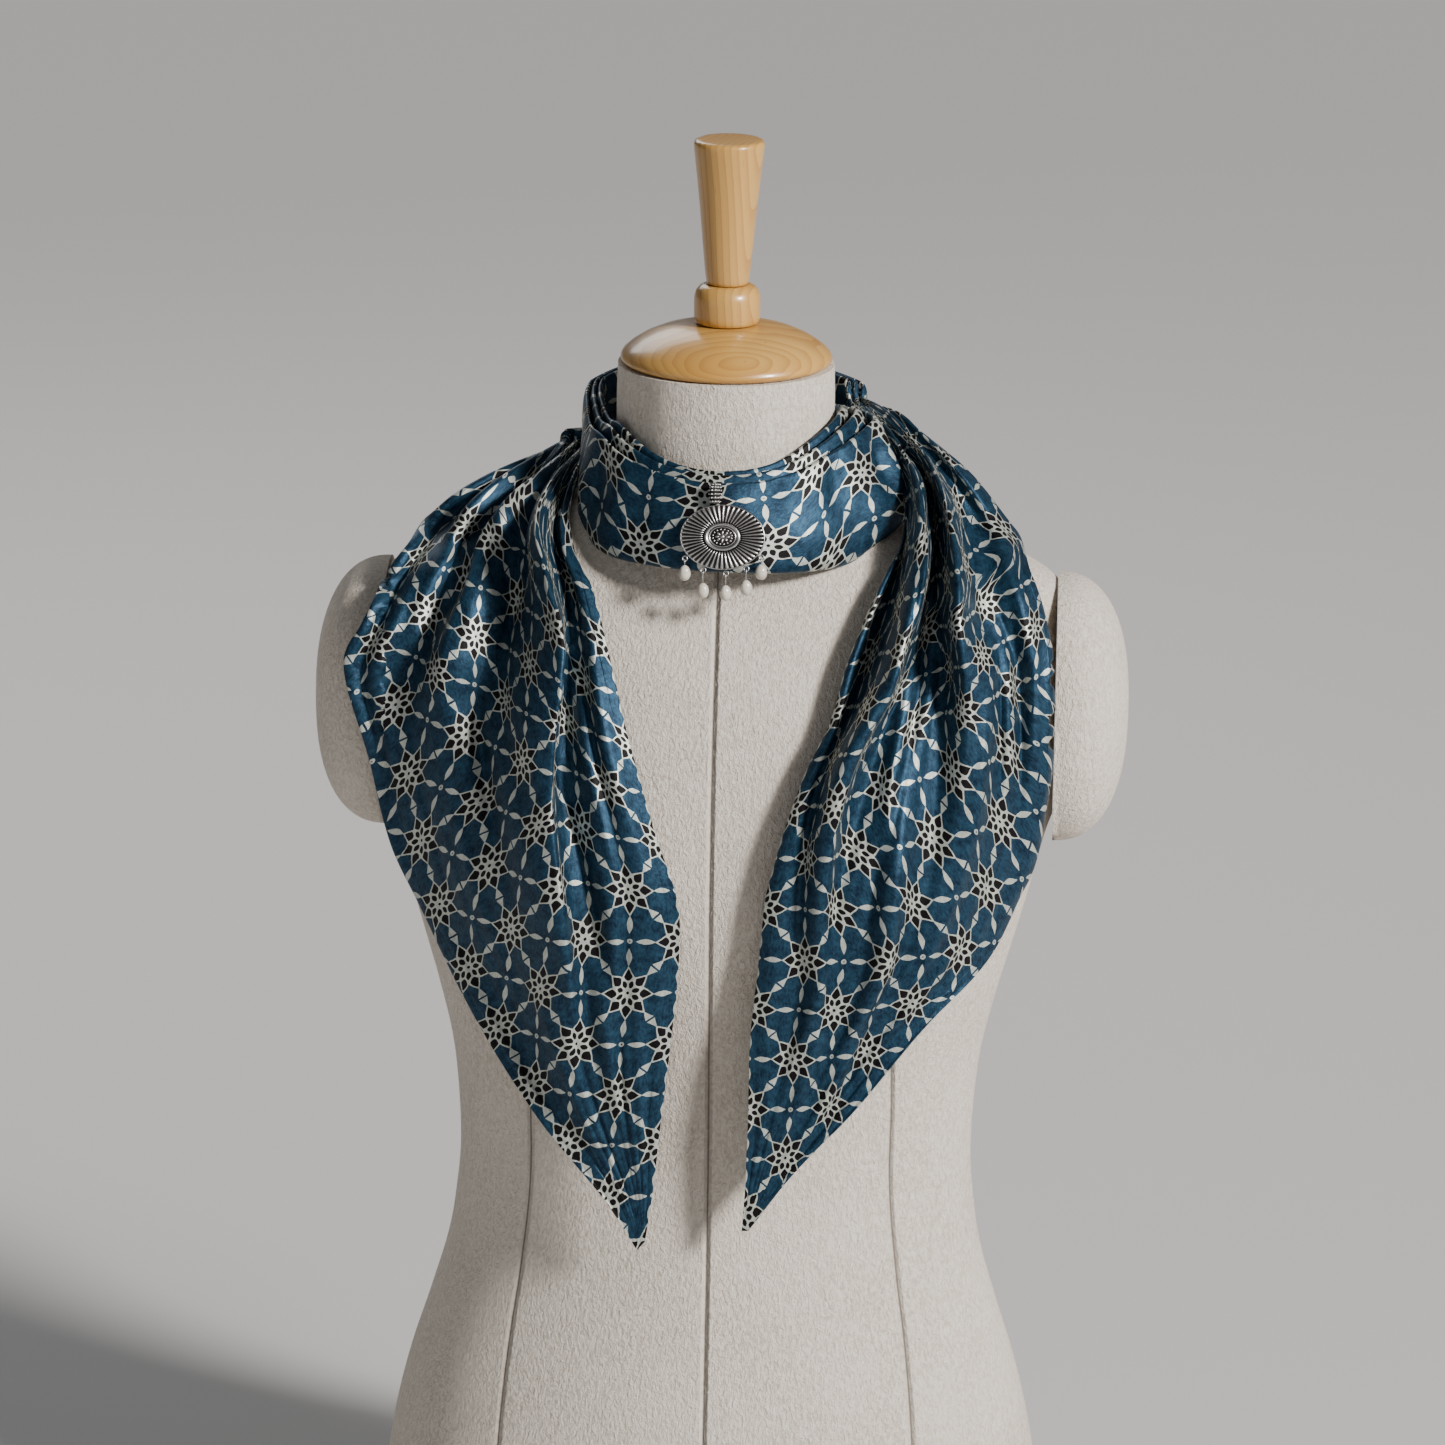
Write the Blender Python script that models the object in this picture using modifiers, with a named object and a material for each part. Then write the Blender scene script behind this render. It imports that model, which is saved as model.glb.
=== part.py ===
"""Long printed scarf with brooch, wound once round a limbless dress form.

Metres, +Z up, the front faces -Y, +X is the viewer's right, the base is z = 0.
The cloth is one strip. Its long edges run from the tips: u = 0 is the edge
nearest the neck and the centre front, u = 1 the edge towards the shoulders.
"""

import math

import bmesh
import bpy
from mathutils import Matrix, Vector
from mathutils.bvhtree import BVHTree

COLLECTION = "scarf_with_brooch"
SEAM_GAP = 0.0003
CLOTH_WALL = 0.0012
CLOTH_CLEAR = 0.0022

# Dress form

TORSO_RINGS = 32
TORSO_SEGMENTS = 40
# Rings crowd towards the neck, where the form turns most.
RING_CROWDING = 1.55
NECK_TOP = 0.6865
ARM_PLANE = 0.1750

# z, half width, depth to the front, depth to the back (mm)
TORSO_SECTIONS = [
    (0.0, 178, 114, 116),
    (50.0, 177, 114, 117),
    (90.0, 173, 110, 114),
    (120.0, 167.5, 106, 110),
    (147.0, 160.5, 102, 105),
    (175.0, 151.5, 97, 99),
    (210.0, 141.5, 92, 90),
    (240.0, 137.2, 89, 85),
    (260.0, 135.8, 88, 83),
    (290.0, 137.0, 89, 84),
    (320.0, 140.5, 93, 88),
    (350.0, 147.5, 99, 94),
    (375.0, 154.5, 104, 100),
    (400.0, 161.5, 108, 105),
    (422.0, 167.0, 110, 108),
    (444.0, 173.0, 109.5, 110),
    (470.0, 183.0, 108, 112),
    (503.0, 189.0, 103, 113),
    (530.0, 188.5, 95, 110),
    (555.0, 183.0, 84, 103),
    (573.0, 175.5, 74, 94),
    (585.0, 157.0, 67, 86),
    (598.0, 124.0, 61.5, 76),
    (610.0, 92.0, 57.5, 67),
    (620.0, 69.0, 56, 60),
    (630.0, 59.5, 56.2, 57.5),
    (645.0, 57.0, 56.8, 57),
    (672.0, 56.6, 56.6, 56.6),
    (686.5, 56.2, 56.2, 56.2),
]

ARM_CAP = {"out": 0.0382, "half_depth": 0.0540, "half_height": 0.0705, "y": 0.003, "z": 0.5055}
ARM_CAP_ROUNDNESS = 2.4
BUST = {"x": 0.082, "z": 0.425, "across": 0.048, "up": 0.052, "out": 0.017}

# radius and z down the outer side of each turned piece (mm)
NECK_CAP_PROFILE = [
    (0.0, 707.4), (17.0, 707.4), (27.0, 705.9), (36.0, 703.4), (44.0, 699.9),
    (50.0, 696.0), (53.6, 692.8), (55.0, 690.2), (54.4, 688.0), (52.6, 686.8), (0.0, 686.8),
]
KNOB_PROFILE = [
    (0.0, 728.0), (11.5, 728.0), (14.4, 726.9), (16.4, 724.4), (17.25, 721.0),
    (17.25, 711.5), (16.9, 709.0), (16.0, 707.7), (0.0, 707.7),
]
HANDLE_PROFILE = [
    (0.0, 804.0), (16.6, 804.0), (17.9, 803.3), (18.3, 801.8), (18.0, 798.0), (16.6, 785.0),
    (14.8, 768.0), (13.2, 750.0), (11.9, 736.0), (11.1, 729.0), (10.6, 728.3), (0.0, 728.3),
]

# Wound stretches

# Section of the folded strip: out from the neck and up its height, 0 to 1.
STRIP_FOLDS = [
    (0.00, 0.02),
    (0.00, 0.48),
    (0.00, 0.90),
    (0.09, 1.00),
    (0.18, 0.90),
    (0.19, 0.60),
    (0.26, 0.50),
    (0.34, 0.60),
    (0.35, 0.90),
    (0.45, 0.985),
    (0.55, 0.88),
    (0.56, 0.66),
    (0.64, 0.56),
    (0.72, 0.66),
    (0.74, 0.86),
    (0.84, 0.93),
    (0.95, 0.80),
    (1.00, 0.52),
    (1.00, 0.26),
    (0.96, 0.05),
    (0.83, -0.02),
    (0.72, 0.08),
]

# angle from the front (degrees, + to the viewer's right), inner and outer
# radius at the top, outer radius at the bottom, top and bottom z (mm)
BAND_SECTIONS = [
    (-118, 74.0, 83.0, 83.0, 668, 642),
    (-95, 64.0, 74.5, 75.0, 662, 637),
    (-75, 60.0, 72.5, 74.5, 658, 613),
    (-50, 60.0, 75.0, 79.0, 655, 598),
    (-25, 60.0, 76.0, 88.0, 646, 597),
    (0, 60.0, 77.0, 93.0, 643, 599),
    (25, 60.0, 79.0, 92.0, 648, 597),
    (50, 60.0, 80.0, 91.0, 657, 596),
    (70, 60.0, 79.0, 96.0, 661, 603),
    (86, 60.0, 76.0, 86.0, 662, 619),
    (100, 59.5, 71.5, 73.0, 661, 630),
]
NAPE_OUTER_SECTIONS = [
    (-118, 74.0, 83.0, 83.0, 668, 642),
    (-145, 74.0, 85.0, 86.0, 672, 643),
    (-180, 74.0, 87.0, 89.0, 675, 640),
    (-215, 74.5, 88.0, 90.0, 678, 642),
    (-235, 75.5, 89.0, 91.0, 680, 646),
]
NAPE_INNER_SECTIONS = [
    (100, 59.5, 71.5, 73.0, 661, 630),
    (140, 59.5, 70.0, 71.0, 655, 628),
    (180, 59.5, 70.5, 72.0, 649, 624),
    (210, 60.5, 72.0, 74.0, 642, 623),
    (230, 68.0, 84.0, 86.0, 639, 623),
    (245, 78.0, 97.0, 98.0, 640, 624),
]

# Front tails

# length along the cloth from the nape, then x and z of the inner and of the
# outer edge, and the hindmost y that the inner and the outer edge may take (mm)
LEFT_TAIL_EDGES = [
    (0, -72, 618, -88, 634, 33, 39),
    (25, -78, 614, -99, 630, 12, 26),
    (40, -80, 608, -112, 624, -8, 16),
    (60, -76, 598, -128, 615, -40, 10),
    (80, -63, 583, -144, 603, -60, 9),
    (120, -53, 551, -168, 582, -60, 9),
    (160, -43.5, 516, -183, 554.5, -60, 9),
    (185, -37, 495, -192, 534, -60, 9),
    (220, -27.5, 464, -180, 488, -60, 0),
    (260, -15.5, 427.5, -167, 434.5, -60, 0),
    (300, -15.5, 387.5, -143, 388, -60, 0),
    (340, -19.5, 347.5, -117.5, 346, -60, 0),
    (380, -24, 308, -87.5, 304.5, -60, 0),
    (420, -28, 267.5, -53, 264.5, -60, 0),
    (443, -31.5, 242, -35.5, 237, -60, 0),
]
RIGHT_TAIL_EDGES = [
    (0, 62, 645, 74, 678, 43, 50),
    (40, 71.5, 661, 76, 682, 26, 38),
    (70, 79, 649, 91, 661, 13, 26),
    (110, 92, 631, 112, 643, -4, 14),
    (130, 95, 612, 123, 630, -32, 12),
    (150, 82, 590, 134.5, 615, -60, 8),
    (190, 68, 554.5, 156.5, 584.5, -60, 8),
    (230, 59, 521, 169.5, 559, -60, 0),
    (255, 49, 501, 173, 538, -60, 0),
    (290, 38, 470.5, 173.5, 491, -60, 0),
    (330, 28.5, 434, 166.5, 436, -60, 0),
    (370, 25.5, 394.5, 144.5, 391, -60, 0),
    (410, 22, 355, 110, 357, -60, 0),
    (450, 21.5, 315, 77, 317, -60, 0),
    (490, 20.5, 275, 41, 277, -60, 0),
    (513, 19, 250, 22.5, 250, -60, 0),
]

# Folds of each tail. Place across the tail (0 inner edge, 1 outer edge) at
# five stations, half width towards the inner and the outer edge, height in
# mm, and the lengths in mm between which the fold fades out
LEFT_FOLD_STATIONS = (0, 80, 160, 240, 340)
LEFT_TAIL_FOLDS = [
    (0.06, 0.07, 0.08, 0.12, 0.20, 0.07, 0.08, 10, 200, 340),
    (0.30, 0.245, 0.30, 0.42, 0.54, 0.06, 0.13, 20, 220, 400),
    (0.55, 0.47, 0.60, 0.62, 0.62, 0.07, 0.10, 12, 110, 220),
    (0.78, 0.70, 0.80, 0.82, 0.82, 0.07, 0.09, 9, 120, 240),
    (0.95, 0.94, 0.95, 0.95, 0.95, 0.06, 0.08, 8, 80, 200),
]
RIGHT_FOLD_STATIONS = (50, 110, 190, 250, 370)
RIGHT_TAIL_FOLDS = [
    (0.10, 0.12, 0.12, 0.10, 0.12, 0.08, 0.08, 9, 200, 350),
    (0.45, 0.50, 0.37, 0.25, 0.32, 0.14, 0.10, 20, 300, 450),
    (0.75, 0.82, 0.56, 0.61, 0.70, 0.08, 0.11, 16, 240, 360),
    (0.95, 0.97, 0.88, 0.92, 0.95, 0.08, 0.07, 10, 220, 340),
]
# Folds shrink where the cloth is gathered to less than this width.
GATHER_WIDTH = 0.12
TAIL_ROWS = 25
TAIL_COLUMNS = 21
# Hanging cloth is traced down from the nape in steps, and falls back a little
# at each one where nothing holds it forward.
FALL_STEPS = 16
FALL_BACK = 0.0008
BEHIND_ALL = 1.0
TAIL_STAND_OFF = 0.0032
TAIL_CLEAR = 0.0045
# places beside and below a point that its cloth must clear too
SEAT_SAMPLES = [(0, 0), (-0.006, 0), (0.006, 0), (0, -0.008)]

# Brooch

# The plate leans back with the band that it is pinned to.
BROOCH_CENTRE = Vector((0.003, -0.0883, 0.6150))
BROOCH_LEAN = math.radians(20)
PLATE_HALF_WIDTH = 21.8
PLATE_HALF_HEIGHT = 16.7
FLUTES = 28

# share of the plate's radius, height over its back, and height and width of
# the flutes there (mm)
PLATE_RINGS = [
    (0.00, 1.3, 0.0),
    (0.46, 1.3, 0.0),
    (0.50, 1.5, 0.35),
    (0.88, 1.2, 0.45),
    (0.93, 1.5, 0.0),
    (1.00, 1.2, 0.0),
    (1.00, 0.2, 0.0),
    (0.90, 0.0, 0.0),
    (0.00, 0.0, 0.0),
]
# share of the boss's radius, height over the plate, and height of its granules
BOSS_RINGS = [
    (0.00, 2.0, 0.0),
    (0.22, 1.9, 0.0),
    (0.40, 1.6, 0.0),
    (0.56, 1.5, 0.5),
    (0.72, 1.0, 0.0),
    (0.82, 1.0, 0.0),
    (0.92, 1.7, 0.0),
    (1.00, 1.2, 0.0),
    (1.00, 0.0, 0.0),
    (0.00, 0.0, 0.0),
]
BOSS_HALF_WIDTH = 9.5
BOSS_HALF_HEIGHT = 7.3
BOSS_GRANULES = 8
# radius and height of the bail's beads (mm), from the plate's top edge
BAIL_PROFILE = [
    (0.0, 10.8), (2.2, 10.8), (3.2, 10.0), (2.5, 9.0), (3.6, 8.0), (3.6, 7.2), (2.7, 6.3),
    (3.8, 5.3), (3.8, 4.5), (2.8, 3.6), (3.4, 2.6), (3.0, 1.2), (2.0, 0.4), (0.0, 0.4),
]

BAIL_ACROSS = -4.2
BAIL_OUT = 2.7

# Eyelets under the plate's rim: place across and up from its centre, and how
# much longer the wire of each drop is than the shortest one's (mm)
EYELETS = [
    (-18.9, -11.3, 0.0),
    (-9.4, -17.0, 3.2),
    (2.2, -18.5, 2.6),
    (12.6, -15.8, 2.4),
    (20.2, -9.9, 0.0),
]
EYELET_OUT = 0.7
EYELET_WIRE = 0.38
RING_RADIUS = 1.25
RING_SEGMENTS = 10
LINK_WIRE = 0.32
LINK_CLEARANCE = 0.15
WIRE_SEGMENTS = 5
PEARL_HALF_WIDTH = 3.1
PEARL_HALF_HEIGHT = 4.1
PEARL_TAPER = 0.06


def mm(value):
    return value * 0.001


def clear_scene():
    for obj in list(bpy.data.objects):
        bpy.data.objects.remove(obj, do_unlink=True)
    for collection in list(bpy.data.collections):
        bpy.data.collections.remove(collection)


def make_collection(name):
    collection = bpy.data.collections.new(name)
    bpy.context.scene.collection.children.link(collection)
    return collection


def make_material(name, colour, roughness, metallic):
    material = bpy.data.materials.new(name)
    material.use_nodes = True
    shader = material.node_tree.nodes["Principled BSDF"]
    shader.inputs["Base Color"].default_value = (*colour, 1.0)
    shader.inputs["Roughness"].default_value = roughness
    shader.inputs["Metallic"].default_value = metallic
    return material


def add_object(collection, name, mesh_source, material, smooth=True):
    mesh = bpy.data.meshes.new(name)
    mesh_source.to_mesh(mesh)
    mesh_source.free()
    for polygon in mesh.polygons:
        polygon.use_smooth = smooth
    mesh.materials.append(material)
    obj = bpy.data.objects.new(name, mesh)
    collection.objects.link(obj)
    return obj


def interpolate(table, position, column):
    """Smooth value of a table's column, the first column being the place."""
    rows = table if table[0][0] <= table[-1][0] else table[::-1]
    if position <= rows[0][0]:
        return rows[0][column]
    if position >= rows[-1][0]:
        return rows[-1][column]
    index = 0
    while rows[index + 1][0] < position:
        index += 1
    start, end = rows[index], rows[index + 1]
    before = rows[max(index - 1, 0)]
    after = rows[min(index + 2, len(rows) - 1)]
    span = end[0] - start[0]
    t = (position - start[0]) / span
    slope_start = slope_end = (end[column] - start[column]) / span
    if start is not before:
        slope_start = (end[column] - before[column]) / (end[0] - before[0])
    if after is not end:
        slope_end = (after[column] - start[column]) / (after[0] - start[0])
    t2, t3 = t * t, t * t * t
    return (
        (2 * t3 - 3 * t2 + 1) * start[column]
        + (t3 - 2 * t2 + t) * span * slope_start
        + (3 * t2 - 2 * t3) * end[column]
        + (t3 - t2) * span * slope_end
    )


def smooth_step(low, high, value):
    t = min(max((value - low) / (high - low), 0.0), 1.0)
    return t * t * (3 - 2 * t)


def torso_point(turn, z):
    """Point of the form at height z, turned from the front by an angle."""
    height = z * 1000
    half_width = mm(interpolate(TORSO_SECTIONS, height, 1))
    front = mm(interpolate(TORSO_SECTIONS, height, 2))
    back = mm(interpolate(TORSO_SECTIONS, height, 3))
    x = half_width * math.sin(turn)
    forward = math.cos(turn)
    if forward < 0:
        return Vector((x, -back * forward, z))
    across = (abs(x) - BUST["x"]) / BUST["across"]
    upward = (z - BUST["z"]) / BUST["up"]
    swell = BUST["out"] * math.exp(-across * across - upward * upward)
    return Vector((x, -front * forward - swell * min(1.0, 1.6 * forward), z))


def build_torso(collection, material):
    bm = bmesh.new()
    bmesh.ops.create_grid(bm, x_segments=TORSO_SEGMENTS, y_segments=TORSO_RINGS, size=0.5)
    for vertex in bm.verts:
        turn = (vertex.co.x + 0.5) * 2 * math.pi
        rise = vertex.co.y + 0.5
        z = NECK_TOP * (1 - (1 - rise) ** RING_CROWDING)
        vertex.co = torso_point(turn, z)
    bmesh.ops.remove_doubles(bm, verts=bm.verts, dist=0.0001)
    bmesh.ops.holes_fill(bm, edges=bm.edges, sides=0)
    for side in (-1, 1):
        geometry = bm.verts[:] + bm.edges[:] + bm.faces[:]
        bmesh.ops.bisect_plane(
            bm,
            geom=geometry,
            plane_co=(side * (ARM_PLANE - SEAM_GAP), 0, 0),
            plane_no=(side, 0, 0),
            clear_outer=True,
        )
    rim = [edge for edge in bm.edges if edge.is_boundary]
    bmesh.ops.holes_fill(bm, edges=rim, sides=0)
    bmesh.ops.recalc_face_normals(bm, faces=bm.faces)
    return add_object(collection, "torso", bm, material)


def build_arm_cap(collection, material, name, side):
    bm = bmesh.new()
    bmesh.ops.create_uvsphere(bm, u_segments=24, v_segments=12, radius=1.0)
    bmesh.ops.rotate(bm, verts=bm.verts, matrix=Matrix.Rotation(math.pi / 2, 3, "Y"))
    geometry = bm.verts[:] + bm.edges[:] + bm.faces[:]
    bmesh.ops.bisect_plane(
        bm, geom=geometry, plane_co=(0, 0, 0), plane_no=(-1, 0, 0), clear_outer=True
    )
    for vertex in bm.verts:
        reach = sum(abs(value) ** ARM_CAP_ROUNDNESS for value in vertex.co)
        vertex.co /= reach ** (1 / ARM_CAP_ROUNDNESS)
        vertex.co = Vector((
            side * (ARM_PLANE + max(vertex.co.x, 0.0) * ARM_CAP["out"]),
            vertex.co.y * ARM_CAP["half_depth"] + ARM_CAP["y"],
            vertex.co.z * ARM_CAP["half_height"] + ARM_CAP["z"],
        ))
    rim = [edge for edge in bm.edges if edge.is_boundary]
    bmesh.ops.edgeloop_fill(bm, edges=rim)
    bmesh.ops.recalc_face_normals(bm, faces=bm.faces)
    return add_object(collection, name, bm, material)


def build_turned(collection, material, name, profile, render_steps):
    bm = bmesh.new()
    points = [bm.verts.new((mm(radius), 0, mm(z))) for radius, z in profile]
    for start, end in zip(points, points[1:]):
        bm.edges.new((start, end))
    obj = add_object(collection, name, bm, material)
    screw = obj.modifiers.new("turned", "SCREW")
    screw.steps = render_steps
    screw.render_steps = render_steps
    screw.use_merge_vertices = True
    screw.merge_threshold = 0.00005
    screw.use_smooth_shade = True
    return obj


def tree_of(objects):
    """One search tree for the surface that the cloth rests on."""
    bm = bmesh.new()
    for obj in objects:
        bm.from_mesh(obj.data)
    tree = BVHTree.FromBMesh(bm)
    bm.free()
    return tree


def form_front(tree, x, z):
    """How far forward the form reaches at x and z."""
    hit = tree.ray_cast(Vector((x, -1.0, z)), Vector((0, 1, 0)))[0]
    return hit.y if hit else BEHIND_ALL


def form_top(tree, x, y):
    """Height of the form's upper surface at x and y, outside the neck."""
    hit = tree.ray_cast(Vector((x, y, 0.66)), Vector((0, 0, -1)))[0]
    return hit.z if hit else 0.0


def clear_of_form(tree, point, distance):
    """Move a point out until it stands clear of the form."""
    place, normal, _, _ = tree.find_nearest(point)
    short = distance - (point - place).dot(normal)
    return point + normal * short if short > 0 else point


def strip_point(tree, sections, u, angle, crush=0.0):
    """Point of the folded strip wound round the neck. Crushed, its folds flatten."""
    place = u * (len(STRIP_FOLDS) - 1)
    index = min(int(place), len(STRIP_FOLDS) - 2)
    t = place - index
    out = STRIP_FOLDS[index][0] * (1 - t) + STRIP_FOLDS[index + 1][0] * t
    up = STRIP_FOLDS[index][1] * (1 - t) + STRIP_FOLDS[index + 1][1] * t
    out += (u - out) * crush
    up += (0.5 - up) * crush
    inner, outer_top, outer_bottom, top, bottom = (
        mm(interpolate(sections, angle, column)) for column in range(1, 6)
    )
    outer = outer_bottom + (outer_top - outer_bottom) * max(up, 0.0)
    radius = inner + (outer - inner) * out
    z = bottom + (top - bottom) * up
    turn = math.radians(angle)
    x, y = radius * math.sin(turn), -radius * math.cos(turn)
    rest = form_top(tree, x, y) + CLOTH_CLEAR
    return clear_of_form(tree, Vector((x, y, max(z, rest))), CLOTH_CLEAR)


def build_cloth(collection, material, name, columns, rows, point_of):
    """Thin wall from a grid whose points are placed by a function of u and v."""
    bm = bmesh.new()
    bmesh.ops.create_grid(bm, x_segments=columns, y_segments=rows, size=0.5)
    for vertex in bm.verts:
        vertex.co = point_of(vertex.co.x + 0.5, vertex.co.y + 0.5)
    bmesh.ops.recalc_face_normals(bm, faces=bm.faces)
    obj = add_object(collection, name, bm, material)
    wall = obj.modifiers.new("wall", "SOLIDIFY")
    wall.thickness = CLOTH_WALL
    wall.offset = 0.0
    return obj


def build_strip(collection, material, tree, name, sections, rows):
    start, end = sections[0][0], sections[-1][0]
    trim = math.degrees(SEAM_GAP / mm(sections[0][1])) * (1 if end > start else -1)

    def point_of(u, v):
        return strip_point(tree, sections, u, start + trim + (end - start - 2 * trim) * v)

    return build_cloth(collection, material, name, len(STRIP_FOLDS) - 1, rows, point_of)


def fold_relief(folds, stations, u, along):
    """Height of the cloth's folds over its base, along mm from the nape."""
    total = 0.0
    for fold in folds:
        centre = interpolate(list(zip(stations, fold[:5])), along, 1)
        inner_width, outer_width, height, fade_start, fade_end = fold[5:]
        across = (u - centre) / (inner_width if u < centre else outer_width)
        size = mm(height) * (1 - smooth_step(fade_start, fade_end, along))
        total = max(total, size * math.exp(-across * across))
    return total


def fall_forward(tree, edges, u, along):
    """Point of the cloth without folds: it falls from the form's foremost part."""
    forward = BEHIND_ALL
    for step in range(FALL_STEPS + 1):
        above = along * step / FALL_STEPS
        inner_x, inner_z, outer_x, outer_z, inner_y, outer_y = (
            mm(interpolate(edges, above, column)) for column in range(1, 7)
        )
        x = inner_x + (outer_x - inner_x) * u
        z = inner_z + (outer_z - inner_z) * u
        limit = inner_y + (outer_y - inner_y) * u
        reach = min(form_front(tree, x + dx, z + dz) for dx, dz in SEAT_SAMPLES)
        forward = min(forward + FALL_BACK, reach, limit)
    return Vector((x, forward - TAIL_STAND_OFF, z))


def tail_base(tree, edges, u, along):
    """Cloth without its folds, straight across at the neck and at the tip."""
    length = edges[-1][0]
    base = fall_forward(tree, edges, u, along)
    at_neck = 1 - smooth_step(100, 190, along)
    at_tip = smooth_step(0.6 * length, length, along)
    if at_neck > 0:
        inner = fall_forward(tree, edges, 0.0, along)
        outer = fall_forward(tree, edges, 1.0, along)
        base = base.lerp(inner.lerp(outer, u), at_neck)
    if at_tip > 0:
        inner = fall_forward(tree, edges, 0.0, along)
        base.y = base.y * (1 - at_tip) + inner.y * at_tip
    return base


def tail_point(tree, edges, folds, stations, root, u, v):
    """Point of a hanging tail: seated on the form, then folded outward."""
    along = edges[-1][0] * v
    base = tail_base(tree, edges, u, along)
    row = tail_base(tree, edges, 1.0, along) - tail_base(tree, edges, 0.0, along)
    side = 1 if edges[0][1] > 0 else -1
    outward = Vector((side * 0.5, -0.5, 0.6)).lerp(
        Vector((0.0, -1.0, 0.12)), smooth_step(20, 130, along)
    )
    outward -= row * (outward.dot(row) / row.length_squared)
    gather = min(1.0, row.length / GATHER_WIDTH)
    point = base + outward.normalized() * (gather * fold_relief(folds, stations, u, along))
    spread = smooth_step(8, 75, along)
    point = root(u, smooth_step(0, 20, along)).lerp(point, spread)
    return clear_of_form(tree, point, CLOTH_CLEAR + (TAIL_CLEAR - CLOTH_CLEAR) * spread)


def build_tail(collection, material, tree, name, edges, folds, stations, sections):
    end = sections[-1][0]
    seam = math.degrees(2 * SEAM_GAP / mm(sections[-1][1]))
    end += seam if end > sections[0][0] else -seam

    def root(u, crush):
        return strip_point(tree, sections, u, end, crush)

    def point_of(u, v):
        return tail_point(tree, edges, folds, stations, root, u, v)

    return build_cloth(collection, material, name, TAIL_COLUMNS, TAIL_ROWS, point_of)


def on_plate(x, up, out):
    """World point from a place on the brooch's plate, all in mm."""
    lean_sin, lean_cos = math.sin(BROOCH_LEAN), math.cos(BROOCH_LEAN)
    return BROOCH_CENTRE + Vector((
        mm(x),
        mm(up) * lean_sin - mm(out) * lean_cos,
        mm(up) * lean_cos + mm(out) * lean_sin,
    ))


def build_oval(collection, material, name, rings, half_width, half_height, waves, segments, lift):
    """Closed oval relief: a ring table turned round the plate's axis."""
    bm = bmesh.new()
    bmesh.ops.create_grid(bm, x_segments=segments, y_segments=len(rings) - 1, size=0.5)
    for vertex in bm.verts:
        turn = (vertex.co.x + 0.5) * 2 * math.pi
        share, height, wave = rings[round((vertex.co.y + 0.5) * (len(rings) - 1))]
        height += wave * math.cos(waves * turn)
        x = share * half_width * math.sin(turn)
        up = share * half_height * math.cos(turn)
        vertex.co = on_plate(x, up, height + lift)
    bmesh.ops.remove_doubles(bm, verts=bm.verts, dist=0.00001)
    bmesh.ops.recalc_face_normals(bm, faces=bm.faces)
    return add_object(collection, name, bm, material)


def build_ring(collection, material, name, place, turn, half_height, wire):
    """Wire ring, stretched upright to its half height, turned and placed."""
    bpy.ops.mesh.primitive_torus_add(
        major_segments=RING_SEGMENTS,
        minor_segments=WIRE_SEGMENTS,
        major_radius=mm(RING_RADIUS),
        minor_radius=mm(wire),
    )
    ring = bpy.context.object
    for scene_collection in list(ring.users_collection):
        scene_collection.objects.unlink(ring)
    collection.objects.link(ring)
    ring.name = ring.data.name = name
    ring.data.materials.append(material)
    for vertex in ring.data.vertices:
        vertex.co.y += math.copysign(mm(half_height - RING_RADIUS), vertex.co.y)
    ring.data.shade_smooth()
    ring.location = place
    ring.rotation_euler = turn
    return ring


def build_drop(collection, silver, pearl, index, x, up, extra):
    """An eyelet, and the wire link and pearl that swing on its lower wire."""
    centre = on_plate(x, up, EYELET_OUT)
    upright = math.pi / 2
    build_ring(
        collection, silver, f"eyelet_{index}", centre,
        (upright - BROOCH_LEAN, 0, 0), RING_RADIUS, EYELET_WIRE,
    )
    pivot = centre - on_plate(0, RING_RADIUS, 0) + BROOCH_CENTRE

    link_top = EYELET_WIRE + LINK_WIRE + LINK_CLEARANCE
    half_height = RING_RADIUS + extra / 2
    link = build_ring(
        collection, silver, f"link_{index}", pivot,
        (upright, 0, upright), half_height, LINK_WIRE,
    )
    for vertex in link.data.vertices:
        vertex.co.y += mm(link_top - half_height)

    pearl_top = mm(link_top - 2 * half_height - LINK_WIRE) - SEAM_GAP
    bm = bmesh.new()
    bmesh.ops.create_uvsphere(bm, u_segments=12, v_segments=8, radius=1.0)
    for vertex in bm.verts:
        half_width = mm(PEARL_HALF_WIDTH) * (1.0 - PEARL_TAPER * vertex.co.z)
        vertex.co.x *= half_width
        vertex.co.y *= half_width
        vertex.co.z = pearl_top + (vertex.co.z - 1) * mm(PEARL_HALF_HEIGHT)
    drop = add_object(collection, f"pearl_{index}", bm, pearl)
    drop.location = pivot


def build_brooch(collection, silver, pearl):
    build_oval(
        collection, silver, "medallion", PLATE_RINGS,
        PLATE_HALF_WIDTH, PLATE_HALF_HEIGHT, FLUTES, 2 * FLUTES, 0.0,
    )
    build_oval(
        collection, silver, "boss", BOSS_RINGS,
        BOSS_HALF_WIDTH, BOSS_HALF_HEIGHT, BOSS_GRANULES, 4 * BOSS_GRANULES,
        PLATE_RINGS[0][1] + 1000 * SEAM_GAP,
    )
    bail = build_turned(collection, silver, "bail", BAIL_PROFILE, 12)
    bail.location = on_plate(BAIL_ACROSS, PLATE_HALF_HEIGHT, BAIL_OUT)
    bail.rotation_euler = (-BROOCH_LEAN, 0, 0)
    for index, (x, up, extra) in enumerate(EYELETS, start=1):
        build_drop(collection, silver, pearl, index, x, up, extra)


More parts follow.
